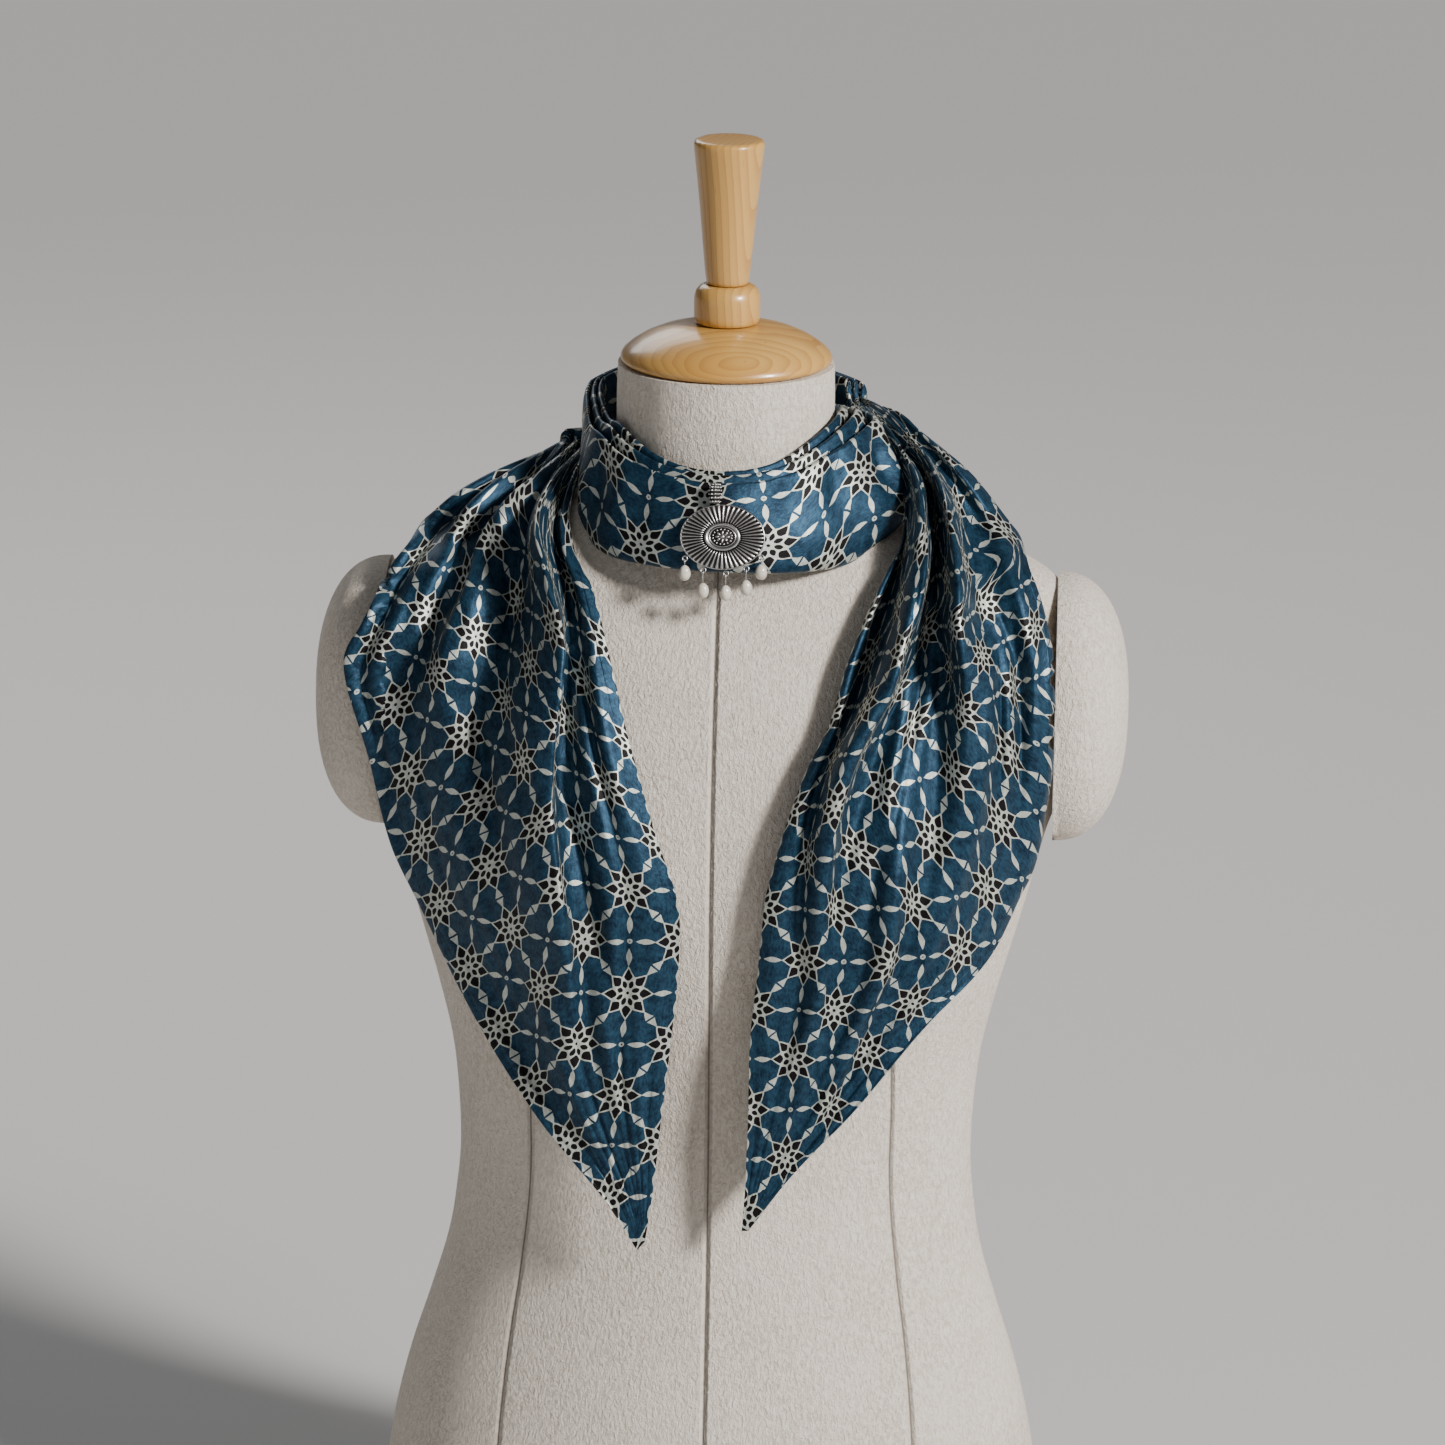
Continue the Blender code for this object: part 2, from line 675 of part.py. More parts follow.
def main():
    clear_scene()
    parts = make_collection(COLLECTION)
    suede = make_material("form_cover", (0.52, 0.47, 0.41), 0.9, 0.0)
    wood = make_material("turned_wood", (0.68, 0.45, 0.20), 0.3, 0.0)
    satin = make_material("printed_satin", (0.03, 0.10, 0.20), 0.35, 0.0)
    silver = make_material("oxidised_silver", (0.32, 0.31, 0.30), 0.35, 1.0)
    pearl = make_material("pearl", (0.86, 0.83, 0.78), 0.2, 0.0)

    torso = build_torso(parts, suede)
    cap_left = build_arm_cap(parts, suede, "arm_cap_left", -1)
    cap_right = build_arm_cap(parts, suede, "arm_cap_right", 1)
    build_turned(parts, wood, "neck_cap", NECK_CAP_PROFILE, 28)
    build_turned(parts, wood, "knob", KNOB_PROFILE, 20)
    build_turned(parts, wood, "handle", HANDLE_PROFILE, 20)

    tree = tree_of([torso, cap_left, cap_right])
    build_strip(parts, satin, tree, "neck_band", BAND_SECTIONS, 18)
    build_strip(parts, satin, tree, "nape_outer", NAPE_OUTER_SECTIONS, 9)
    build_strip(parts, satin, tree, "nape_inner", NAPE_INNER_SECTIONS, 9)
    build_tail(
        parts, satin, tree, "tail_left",
        LEFT_TAIL_EDGES, LEFT_TAIL_FOLDS, LEFT_FOLD_STATIONS, NAPE_INNER_SECTIONS,
    )
    build_tail(
        parts, satin, tree, "tail_right",
        RIGHT_TAIL_EDGES, RIGHT_TAIL_FOLDS, RIGHT_FOLD_STATIONS, NAPE_OUTER_SECTIONS,
    )
    build_brooch(parts, silver, pearl)


main()
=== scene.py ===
# %% [markdown]
# # A printed scarf with a brooch, on a dress form
# One long strip of block-printed satin goes once round the neck of a limbless dress
# form. Both slanted ends hang in front, and an oval brooch with swinging pearls holds
# the wound stretch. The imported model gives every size; here each piece gets its fine
# shape and its finish. Lengths are metres, +Z is up and the front faces -Y.

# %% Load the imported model
import math

import bmesh
import bpy
import numpy as np
from mathutils import Matrix, Vector, noise
from mathutils.bvhtree import BVHTree


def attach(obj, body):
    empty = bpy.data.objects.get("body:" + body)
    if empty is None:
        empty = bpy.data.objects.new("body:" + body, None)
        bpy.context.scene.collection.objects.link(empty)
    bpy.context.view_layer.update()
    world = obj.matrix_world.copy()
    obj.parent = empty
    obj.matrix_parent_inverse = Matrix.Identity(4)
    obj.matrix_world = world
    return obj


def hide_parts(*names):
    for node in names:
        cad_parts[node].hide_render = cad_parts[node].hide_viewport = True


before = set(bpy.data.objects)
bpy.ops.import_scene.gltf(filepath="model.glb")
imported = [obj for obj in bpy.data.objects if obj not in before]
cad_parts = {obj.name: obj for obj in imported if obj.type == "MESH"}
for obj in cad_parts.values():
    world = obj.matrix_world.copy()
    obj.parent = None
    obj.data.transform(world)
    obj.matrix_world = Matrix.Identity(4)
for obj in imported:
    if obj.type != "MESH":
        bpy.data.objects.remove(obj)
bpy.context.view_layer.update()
ROOT = "form_and_scarf"

# %% [markdown]
# The camera stands where the photographer stood: far away with a long lens, a little
# above the chest and a little to the right. Its small roll is kept too, because the
# form leans by that much in the picture.

# %% Camera
CAMERA_DISTANCE = 4.2
CAMERA_ELEVATION = math.radians(15.5)
CAMERA_AZIMUTH = math.radians(2.4)
CAMERA_ROLL = math.radians(0.8)
CAMERA_TARGET = Vector((0.0006, 0.0, 0.4925))
CAMERA_LENS = 199.3


def place_camera():
    back = Vector((
        math.sin(CAMERA_AZIMUTH) * math.cos(CAMERA_ELEVATION),
        -math.cos(CAMERA_AZIMUTH) * math.cos(CAMERA_ELEVATION),
        math.sin(CAMERA_ELEVATION),
    ))
    level_right = (-back).cross(Vector((0, 0, 1))).normalized()
    level_up = level_right.cross(-back)
    right = level_right * math.cos(CAMERA_ROLL) + level_up * math.sin(CAMERA_ROLL)
    up = level_up * math.cos(CAMERA_ROLL) - level_right * math.sin(CAMERA_ROLL)
    camera = bpy.data.objects.new("camera", bpy.data.cameras.new("camera"))
    camera.data.lens = CAMERA_LENS
    camera.data.sensor_width = 36.0
    camera.data.clip_end = 100.0
    place = CAMERA_TARGET + back * CAMERA_DISTANCE
    camera.matrix_world = Matrix.Translation(place) @ Matrix((right, up, back)).transposed().to_4x4()
    bpy.context.scene.collection.objects.link(camera)
    bpy.context.scene.camera = camera
    return camera


camera = place_camera()
print("camera at", [round(value, 3) for value in camera.matrix_world.translation])

# %% [markdown]
# Satin needs large soft lights, because its sheen is a blurred picture of them. A soft
# sun high on the right is the key: it reaches the floor everywhere alike. A softbox near
# it draws the gloss, a weak one fills from the left, and one behind lifts the outline.
# The floor is a wide pale sheet that also fills the view behind the form.

# %% Floor and lights
LIGHTS = [
    # name, place, size, power in watts, colour
    ("softbox", (1.9, -1.4, 1.95), 0.6, 42.0, (1.0, 0.965, 0.92)),
    ("fill", (-2.3, -2.1, 1.1), 1.6, 4.0, (0.93, 0.96, 1.0)),
    ("rim", (-0.9, 2.2, 2.0), 1.2, 16.0, (1.0, 1.0, 1.0)),
]
LIGHTS_AIM = Vector((0, 0, 0.5))
SUN_FROM = (1.9, -1.45, 1.75)
SUN_STRENGTH = 4.1
SUN_ANGLE = math.radians(9)
SUN_COLOUR = (1.0, 0.97, 0.93)
ROOM_COLOUR = (0.86, 0.88, 0.92, 1.0)
ROOM_STRENGTH = 0.13
FLOOR_COLOUR = (0.62, 0.61, 0.60, 1.0)
FLOOR_ROUGHNESS = 0.85
FLOOR_HALF = 20.0


def make_floor():
    bm = bmesh.new()
    bmesh.ops.create_grid(bm, x_segments=1, y_segments=1, size=FLOOR_HALF)
    mesh = bpy.data.meshes.new("floor")
    bm.to_mesh(mesh)
    bm.free()
    floor = bpy.data.objects.new("floor", mesh)
    bpy.context.scene.collection.objects.link(floor)
    material = bpy.data.materials.new("pale_floor")
    material.use_nodes = True
    shader = material.node_tree.nodes["Principled BSDF"]
    shader.inputs["Base Color"].default_value = FLOOR_COLOUR
    shader.inputs["Roughness"].default_value = FLOOR_ROUGHNESS
    mesh.materials.append(material)


def place_light(name, kind, place, power, colour):
    """Light that looks at the form; the caller sets how large it is."""
    light = bpy.data.lights.new(name, kind)
    light.energy = power
    light.color = colour
    lamp = bpy.data.objects.new(name, light)
    lamp.location = place
    lamp.rotation_euler = (LIGHTS_AIM - Vector(place)).to_track_quat("-Z", "Y").to_euler()
    bpy.context.scene.collection.objects.link(lamp)
    return light


make_floor()
place_light("sun", "SUN", SUN_FROM, SUN_STRENGTH, SUN_COLOUR).angle = SUN_ANGLE
for title, light_from, size, power, colour in LIGHTS:
    place_light(title, "AREA", light_from, power, colour).size = size
world = bpy.data.worlds.new("soft_room")
world.use_nodes = True
background = world.node_tree.nodes["Background"]
background.inputs["Color"].default_value = ROOM_COLOUR
background.inputs["Strength"].default_value = ROOM_STRENGTH
bpy.context.scene.world = world
print("lights", [row[0] for row in LIGHTS])

# %% [markdown]
# Every later cell turns a bmesh into a finished piece in the same way: the piece is
# named, rides on the body that carries it, and stands for its plain solid.

# %% Helpers for pieces
def mm(value):
    return value * 0.001


def smooth_step(low, high, value):
    t = np.clip((value - low) / (high - low), 0.0, 1.0)
    return t * t * (3 - 2 * t)


def make_piece(name, bm, material, nodes, body=ROOT):
    """Finished piece from a bmesh that is already in place, standing for some nodes."""
    mesh = bpy.data.meshes.new(name)
    bm.to_mesh(mesh)
    bm.free()
    mesh.shade_smooth()
    mesh.materials.append(material)
    piece = bpy.data.objects.new(name, mesh)
    bpy.context.scene.collection.objects.link(piece)
    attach(piece, body)
    if nodes:
        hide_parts(*nodes)
    print(name, len(mesh.polygons), "faces")
    return piece


def set_attribute(piece, name, kind, values):
    """Writes one value for each vertex: kind is FLOAT or FLOAT_VECTOR."""
    layer = piece.data.attributes.new(name, kind, "POINT")
    field = "value" if kind == "FLOAT" else "vector"
    layer.data.foreach_set(field, np.asarray(values, np.float32).ravel())


def table_value(table, position, column):
    """Smooth value of a table's column, the first column being the place."""
    rows = table if table[0][0] <= table[-1][0] else table[::-1]
    if position <= rows[0][0]:
        return rows[0][column]
    if position >= rows[-1][0]:
        return rows[-1][column]
    index = 0
    while rows[index + 1][0] < position:
        index += 1
    start, end = rows[index], rows[index + 1]
    before = rows[max(index - 1, 0)]
    after = rows[min(index + 2, len(rows) - 1)]
    span = end[0] - start[0]
    t = (position - start[0]) / span
    slope_start = slope_end = (end[column] - start[column]) / span
    if start is not before:
        slope_start = (end[column] - before[column]) / (end[0] - before[0])
    if after is not end:
        slope_end = (after[column] - start[column]) / (after[0] - start[0])
    t2, t3 = t * t, t * t * t
    return (
        (2 * t3 - 3 * t2 + 1) * start[column]
        + (t3 - 2 * t2 + t) * span * slope_start
        + (3 * t2 - 2 * t3) * end[column]
        + (t3 - t2) * span * slope_end
    )


# %% [markdown]
# Materials are node trees. A small class keeps long formulas readable: a term is one
# value of a shader, and plain arithmetic or a comparison with it adds a Math node. The
# functions after it add the other kinds of node, node groups and materials.

# %% Helpers for materials
class Term:
    """A value in a node tree, which arithmetic and comparisons can be written with."""

    def __init__(self, tree, socket):
        self.tree = tree
        self.socket = socket

    def then(self, operation, *others, clamp=False):
        return maths(self.tree, operation, self, *others, clamp=clamp)

    def __add__(self, other):
        return self.then("ADD", other)

    def __sub__(self, other):
        return self.then("SUBTRACT", other)

    def __rsub__(self, other):
        return maths(self.tree, "SUBTRACT", other, self)

    def __mul__(self, other):
        return self.then("MULTIPLY", other)

    def __truediv__(self, other):
        return self.then("DIVIDE", other)

    def __pow__(self, other):
        return self.then("POWER", other)

    def __abs__(self):
        return self.then("ABSOLUTE")

    def __lt__(self, other):
        return self.then("LESS_THAN", other)

    def __gt__(self, other):
        return self.then("GREATER_THAN", other)


def feed(tree, socket, value):
    """Gives a socket a term, a number or a colour."""
    if isinstance(value, Term):
        tree.links.new(value.socket, socket)
    elif isinstance(value, tuple) and len(value) == 3 and socket.type == "RGBA":
        socket.default_value = (*value, 1.0)
    else:
        socket.default_value = value


def add_node(tree, kind, output, inputs, **settings):
    """Adds a node, feeds its inputs by name or number, and returns one of its outputs."""
    node = tree.nodes.new(kind)
    for title, value in settings.items():
        setattr(node, title, value)
    for title, value in inputs.items():
        feed(tree, node.inputs[title], value)
    return Term(tree, node.outputs[output])


def maths(tree, operation, *values, clamp=False):
    inputs = dict(enumerate(values))
    return add_node(tree, "ShaderNodeMath", 0, inputs, operation=operation, use_clamp=clamp)


def distance(first, second):
    return (first * first + second * second).then("SQRT")


def highest(first, *others):
    for other in others:
        first = first.then("MAXIMUM", other)
    return first


def axes(place):
    """The three coordinates of a vector."""
    node = place.tree.nodes.new("ShaderNodeSeparateXYZ")
    feed(place.tree, node.inputs[0], place)
    return [Term(place.tree, socket) for socket in node.outputs]


def mix_colour(factor, first, second):
    inputs = {"Factor": factor, 6: first, 7: second}
    return add_node(factor.tree, "ShaderNodeMix", 2, inputs, data_type="RGBA")


def noise_value(place, scale, detail=2.0, roughness=0.5, distortion=0.0):
    inputs = {
        "Vector": place, "Scale": scale, "Detail": detail, "Roughness": roughness, "Distortion": distortion,
    }
    return add_node(place.tree, "ShaderNodeTexNoise", "Fac", inputs)


def mapped(place, offset=(0, 0, 0), scale=(1, 1, 1), turn=(0, 0, 0)):
    inputs = {"Vector": place, "Location": offset, "Scale": scale, "Rotation": turn}
    return add_node(place.tree, "ShaderNodeMapping", "Vector", inputs)


def remap(value, low, high, to_low=0.0, to_high=1.0):
    inputs = {"Value": value, "From Min": low, "From Max": high, "To Min": to_low, "To Max": to_high}
    return add_node(value.tree, "ShaderNodeMapRange", "Result", inputs, interpolation_type="SMOOTHSTEP")


def bump(height, reach, strength=1.0):
    inputs = {"Height": height, "Distance": reach, "Strength": strength}
    return add_node(height.tree, "ShaderNodeBump", "Normal", inputs)


def object_place(tree):
    return add_node(tree, "ShaderNodeTexCoord", "Object", {})


def attribute(tree, name, output="Vector"):
    return add_node(tree, "ShaderNodeAttribute", output, {}, attribute_name=name)


def new_material(name):
    material = bpy.data.materials.new(name)
    material.use_nodes = True
    return material, material.node_tree


def dress(material, inputs):
    """Feeds the inputs of a material's shader."""
    shader = material.node_tree.nodes["Principled BSDF"]
    for title, value in inputs.items():
        feed(material.node_tree, shader.inputs[title], value)
    return material


def new_group(name, inputs, outputs):
    """Empty shader group and its inputs as terms. Inputs are name, kind and default."""
    group = bpy.data.node_groups.new(name, "ShaderNodeTree")
    for title, kind, default in inputs:
        socket = group.interface.new_socket(title, in_out="INPUT", socket_type=kind)
        if default is not None:
            socket.default_value = default
    for title in outputs:
        group.interface.new_socket(title, in_out="OUTPUT", socket_type="NodeSocketFloat")
    inlet = group.nodes.new("NodeGroupInput")
    return group, {title: Term(group, inlet.outputs[title]) for title, _, _ in inputs}


def close_group(group, **results):
    """Links terms to the outputs of a group."""
    outlet = group.nodes.new("NodeGroupOutput")
    for title, term in results.items():
        feed(group, outlet.inputs[title], term)
    return group


def use_group(group, place, **values):
    """Puts a group where its first input is given; returns its outputs by name."""
    node = place.tree.nodes.new("ShaderNodeGroup")
    node.node_tree = group
    feed(place.tree, node.inputs[0], place)
    for title, value in values.items():
        feed(place.tree, node.inputs[title], value)
    return {socket.name: Term(place.tree, socket) for socket in node.outputs}


# %% [markdown]
# ## The print
# The cloth is printed with stars of eight petals on a centred lattice. Round each star
# are leaves on its upright and level axes, and a cut diamond on each diagonal. Mirror
# symmetry does most of the work: PINGPONG folds the cloth to a quarter cell, one test
# picks the nearer star, and a second PINGPONG folds the angle to half a petal. What is
# left is a few comparisons of small distances, in millimetres of cloth. The lengths of
# the star and its cells are those before STAR_SCALE shrinks it.

# %% Print group
CELL_ACROSS = 49.0
CELL_ALONG = 56.0
STAR_SCALE = 0.93
# petals: distance of the tip from the centre, length of the taper, half widths
PETAL_TIP = 13.5
PETAL_TAPER = 5.2
PETAL_HALF = 3.15
PETAL_END = 0.22
# black cells of the petals: both ends, length of each end's taper, half width, and
# what each side loses
BLACK_TIP = 12.4
BLACK_FOOT = 6.2
BLACK_POINT = 4.2
BLACK_ROUND = 2.2
BLACK_HALF = 2.5
BLACK_SHRINK = 0.08
# small cells round the centre: distance, half length, half width; and the dot
RING_PLACE = 4.6
RING_LONG = 1.95
RING_WIDE = 1.28
DOT_RADIUS = 0.8
# distance from the centre, half length and half width of the leaves
LEVEL_LEAF = (17.0, 4.6, 1.5)
UPRIGHT_LEAF = (19.3, 4.9, 1.45)
OVAL_POWER = 1.7
KNOT_RADIUS = 1.35
KNOT_HOLE = 0.4
# cut diamond: distance of its point, slope of its sides, half width at the point,
# half the gap across it
DIAMOND_POINT = 13.6
DIAMOND_SLOPE = 0.42
DIAMOND_BLUNT = 0.3
DIAMOND_GAP = 0.5


def build_print_group():
    group, given = new_group("star_print", [("Cloth", "NodeSocketVector", None)], ["Paint", "Black"])
    half_x, half_y = CELL_ACROSS / 2, CELL_ALONG / 2
    across, along, _ = axes(given["Cloth"])
    x = across.then("PINGPONG", half_x)
    y = along.then("PINGPONG", half_y)
    beyond = x / half_x + y / half_y > 1.0
    x = x + beyond * (half_x - x * 2.0)
    y = y + beyond * (half_y - y * 2.0)

    # a star is taller than wide, as the cells of the lattice are
    star_x = x / STAR_SCALE
    star_y = y * (half_x / half_y / STAR_SCALE)
    radius = distance(star_x, star_y)
    off_tip = star_y.then("ARCTAN2", star_x).then("PINGPONG", math.pi / 8)
    out = radius * off_tip.then("COSINE")
    side = radius * off_tip.then("SINE")

    # outline of the star: petals narrow from the notch between them to the tip
    to_tip = (PETAL_TIP - out).then("DIVIDE", PETAL_TAPER, clamp=True)
    star = (side < to_tip * PETAL_HALF + PETAL_END) * (out < PETAL_TIP + 0.1)

    # black cell of each petal: round towards the centre, pointed towards the tip
    to_point = (BLACK_TIP - out).then("DIVIDE", BLACK_POINT, clamp=True) ** 0.8
    to_foot = (out - BLACK_FOOT).then("DIVIDE", BLACK_ROUND, clamp=True).then("SQRT")
    petal_cell = side < (to_point * BLACK_HALF).then("MINIMUM", to_foot * BLACK_HALF) - BLACK_SHRINK

    # ring of eight small cells between the petals' axes, and the dot in the middle
    off_gap = math.pi / 8 - off_tip
    ring_long = abs(radius * off_gap.then("COSINE") - RING_PLACE) / RING_LONG
    ring_wide = radius * off_gap.then("SINE") / RING_WIDE
    ring_cell = ring_long ** OVAL_POWER + ring_wide ** OVAL_POWER < 1.0
    black = star * highest(petal_cell, ring_cell, radius < DOT_RADIUS)

    def leaf(run, off, centre, half_length, half_width):
        share = abs((run - centre) / half_length)
        return off < (1.0 - share ** OVAL_POWER) * half_width

    knot = distance(x - half_x, y).then("MINIMUM", distance(x, y - half_y))
    knot_ring = (knot < KNOT_RADIUS) * (knot > KNOT_HOLE)

    # half of a diamond on the diagonal, cut across the middle by a thin gap
    diagonal = math.hypot(half_x, half_y)
    towards = (x * half_x + y * half_y) / diagonal
    astray = abs((x * half_y - y * half_x) / diagonal)
    inside = astray < (towards - DIAMOND_POINT) * DIAMOND_SLOPE + DIAMOND_BLUNT
    diamond = inside * (towards > DIAMOND_POINT - 0.2) * (towards < diagonal / 2 - DIAMOND_GAP)

    leaves = highest(leaf(x, y, *LEVEL_LEAF), leaf(y, x, *UPRIGHT_LEAF))
    return close_group(group, Paint=highest(star - black, leaves, knot_ring, diamond), Black=black)


star_print = build_print_group()
print("print group with", len(star_print.nodes), "nodes")

# %% [markdown]
# Satin shines because long floats of thread lie side by side. Its highlight is broad and
# takes the colour of the dye, so the shader is part metallic. The dye is mottled, the
# black is dull, and the undyed lines keep the paler colour of the silk. The hem shows
# as a ridge with a stitched groove at its inner side.

# %% Printed satin
INDIGO_DEEP = (0.004, 0.014, 0.032)
INDIGO_LIGHT = (0.022, 0.066, 0.113)
UNDYED = (0.60, 0.62, 0.56)
UNDYED_WORN = (0.44, 0.47, 0.44)
PRINT_BLACK = (0.003, 0.002, 0.003)
HEM_WIDTH = 6.0
HEM_STEP = 0.6
STITCH_HALF = 0.45


def make_printed_satin():
    material, tree = new_material("printed_satin")
    cloth = attribute(tree, "cloth_mm")
    edge = attribute(tree, "edge_mm", "Fac")
    wobble = add_node(tree, "ShaderNodeTexNoise", "Color", {"Vector": cloth, "Scale": 0.22})
    steps = {0: wobble, 1: (0.9, 0.9, 0.0), 2: cloth}
    drawn = add_node(tree, "ShaderNodeVectorMath", 0, steps, operation="MULTIPLY_ADD")
    pattern = use_group(star_print, drawn)

    mottle = noise_value(cloth, 0.16, 5.0, 0.62)
    slub = noise_value(mapped(cloth, scale=(0.85, 0.4, 1.0)), 1.0, 3.0, 0.6)
    shade = slub * 0.6 + mottle * 0.62
    dye = mix_colour(remap(shade, 0.38, 0.82), INDIGO_DEEP, INDIGO_LIGHT)
    silk = mix_colour(remap(slub, 0.35, 0.75), UNDYED_WORN, UNDYED)
    printed = mix_colour(pattern["Paint"], dye, silk)

    grain = noise_value(mapped(cloth, scale=(1.2, 0.75, 1.0)), 1.0, 4.0, 0.7)
    pucker = noise_value(mapped(cloth, scale=(0.25, 0.25, 1.0)), 1.0, 2.0, 0.5)
    near_hem = remap(edge, HEM_WIDTH + 5.0, HEM_WIDTH - 1.0)
    hem_ridge = remap(edge, HEM_WIDTH + HEM_STEP, HEM_WIDTH - HEM_STEP)
    stitch_row = abs(edge - (HEM_WIDTH - HEM_STEP)) < STITCH_HALF
    relief = grain * 0.28 + near_hem * pucker * 0.45 + hem_ridge * 0.35 - stitch_row * 0.45
    return dress(material, {
        "Base Color": mix_colour(pattern["Black"], printed, PRINT_BLACK),
        "Normal": bump(relief, 0.001, 0.9),
        "Roughness": grain * 0.20 + 0.30 + pattern["Black"] * 0.12,
        "Metallic": 0.5 - pattern["Black"] * 0.45,
        "Specular IOR Level": 0.16,
    })


printed_satin = make_printed_satin()
print("satin made with", len(printed_satin.node_tree.nodes), "nodes")

# %% [markdown]
# ## The dress form
# The body is a stack of ovals. A grid is wrapped round them by a function, then cut flat
# at the armholes, which a padded oval closes on each side. It is finer than the packed
# solid but follows the same table, so the cloth can rest on it.

# %% Torso table
NECK_TOP = 0.6865
ARM_PLANE = 0.1750
SEAM_GAP = 0.0003

# z, half width, depth to the front, depth to the back (mm)
TORSO_SECTIONS = [
    (0.0, 178, 114, 116), (50.0, 177, 114, 117), (90.0, 173, 110, 114), (120.0, 167.5, 106, 110),
    (147.0, 160.5, 102, 105), (175.0, 151.5, 97, 99), (210.0, 141.5, 92, 90), (240.0, 137.2, 89, 85),
    (260.0, 135.8, 88, 83), (290.0, 137.0, 89, 84), (320.0, 140.5, 93, 88), (350.0, 147.5, 99, 94),
    (375.0, 154.5, 104, 100), (400.0, 161.5, 108, 105), (422.0, 167.0, 110, 108),
    (444.0, 173.0, 109.5, 110), (470.0, 183.0, 108, 112), (503.0, 189.0, 103, 113),
    (530.0, 188.5, 95, 110), (555.0, 183.0, 84, 103), (573.0, 175.5, 74, 94), (585.0, 157.0, 67, 86),
    (598.0, 124.0, 61.5, 76), (610.0, 92.0, 57.5, 67), (620.0, 69.0, 56, 60), (630.0, 59.5, 56.2, 57.5),
    (645.0, 57.0, 56.8, 57), (672.0, 56.6, 56.6, 56.6), (686.5, 56.2, 56.2, 56.2),
]
BUST = {"x": 0.082, "z": 0.425, "across": 0.048, "up": 0.052, "out": 0.017}
ARM_CAP = {"out": 0.0382, "half_depth": 0.0540, "half_height": 0.0705, "y": 0.003, "z": 0.5055}
ARM_CAP_ROUNDNESS = 2.4
RING_CROWDING = 1.55


def torso_point(turn, z):
    """Point of the form at height z, turned from the front by an angle."""
    height = z * 1000
    half_width = mm(table_value(TORSO_SECTIONS, height, 1))
    front = mm(table_value(TORSO_SECTIONS, height, 2))
    back = mm(table_value(TORSO_SECTIONS, height, 3))
    x = half_width * math.sin(turn)
    forward = math.cos(turn)
    if forward < 0:
        return Vector((x, -back * forward, z))
    across = (abs(x) - BUST["x"]) / BUST["across"]
    upward = (z - BUST["z"]) / BUST["up"]
    swell = BUST["out"] * math.exp(-across * across - upward * upward)
    return Vector((x, -front * forward - swell * min(1.0, 1.6 * forward), z))


# %% [markdown]
# The cover is suede cloth: a short nap over a fine knit, drawn tight. It is nearly all
# roughness, with soft mottling and tiny worm-like bumps. The panels meet in thin dark
# seams down the front and over the bust; a Float Curve holds where the bust seam runs.

# %% Suede cover
SUEDE_SHADE = (0.50, 0.435, 0.365)
SUEDE_LIGHT = (0.64, 0.570, 0.495)
NAP_LIGHT = (0.76, 0.695, 0.615)
SEAM_DARK = (0.20, 0.165, 0.135)
SEAM_HALF = 0.00034
SEAMS_TOP = 0.60
# the bust seam's height and its distance from the centre, as shares of these two lengths
BUST_SEAM_HEIGHT = 0.8
BUST_SEAM_REACH = 0.2
BUST_SEAM = [
    (0.0, 0.57), (0.156, 0.545), (0.215, 0.522), (0.27, 0.492), (0.325, 0.472), (0.39, 0.472),
    (0.46, 0.462), (0.54, 0.42), (0.62, 0.44), (0.72, 0.52), (0.80, 0.60),
]


def build_nap_group():
    group, given = new_group("suede_nap", [("Place", "NodeSocketVector", None)], ["Mottle", "Nap"])
    place = given["Place"]
    mottle = noise_value(place, 14.0, 4.0, 0.6)
    streak = noise_value(mapped(place, scale=(1.0, 1.0, 0.55)), 560.0, 3.0, 0.62, 0.5)
    fine = noise_value(place, 1500.0, 2.0, 0.5)
    return close_group(group, Mottle=mottle, Nap=fine * 0.35 + streak)


suede_nap = build_nap_group()


def make_suede():
    material, tree = new_material("form_cover")
    place = object_place(tree)
    nap = use_group(suede_nap, place)
    across, depth, height = axes(place)

    run = tree.nodes.new("ShaderNodeFloatCurve")
    curve = run.mapping.curves[0]
    curve.points[0].location, curve.points[1].location = BUST_SEAM[0], BUST_SEAM[-1]
    for point in BUST_SEAM[1:-1]:
        curve.points.new(*point)
    run.mapping.update()
    feed(tree, run.inputs["Value"], height / BUST_SEAM_HEIGHT)
    bust_seam = Term(tree, run.outputs[0]) * BUST_SEAM_REACH
    from_seam = abs(abs(across) - bust_seam).then("MINIMUM", abs(across))
    on_front = (depth < 0.0) * (height < SEAMS_TOP)
    seam = remap(from_seam, SEAM_HALF * 2.2, SEAM_HALF * 0.6) * on_front
    dip = remap(from_seam, SEAM_HALF * 7, 0.0) * on_front

    soft = mix_colour(remap(nap["Mottle"], 0.3, 0.72), SUEDE_SHADE, SUEDE_LIGHT)
    flecked = mix_colour(remap(nap["Nap"], 0.45, 0.85), soft, NAP_LIGHT)
    return dress(material, {
        "Base Color": mix_colour(seam, flecked, SEAM_DARK),
        "Normal": bump(nap["Nap"] - dip * 1.6, 0.0015),
        "Roughness": 0.92,
        "Specular IOR Level": 0.25,
        "Sheen Weight": 0.12,
        "Sheen Roughness": 0.55,
        "Sheen Tint": (1.0, 0.96, 0.9),
    })


suede = make_suede()
print("suede made with", len(suede.node_tree.nodes), "nodes")

# %% Torso and arm caps
TORSO_SEGMENTS = 128
TORSO_RINGS = 150
MERGE_DISTANCE = 0.00001


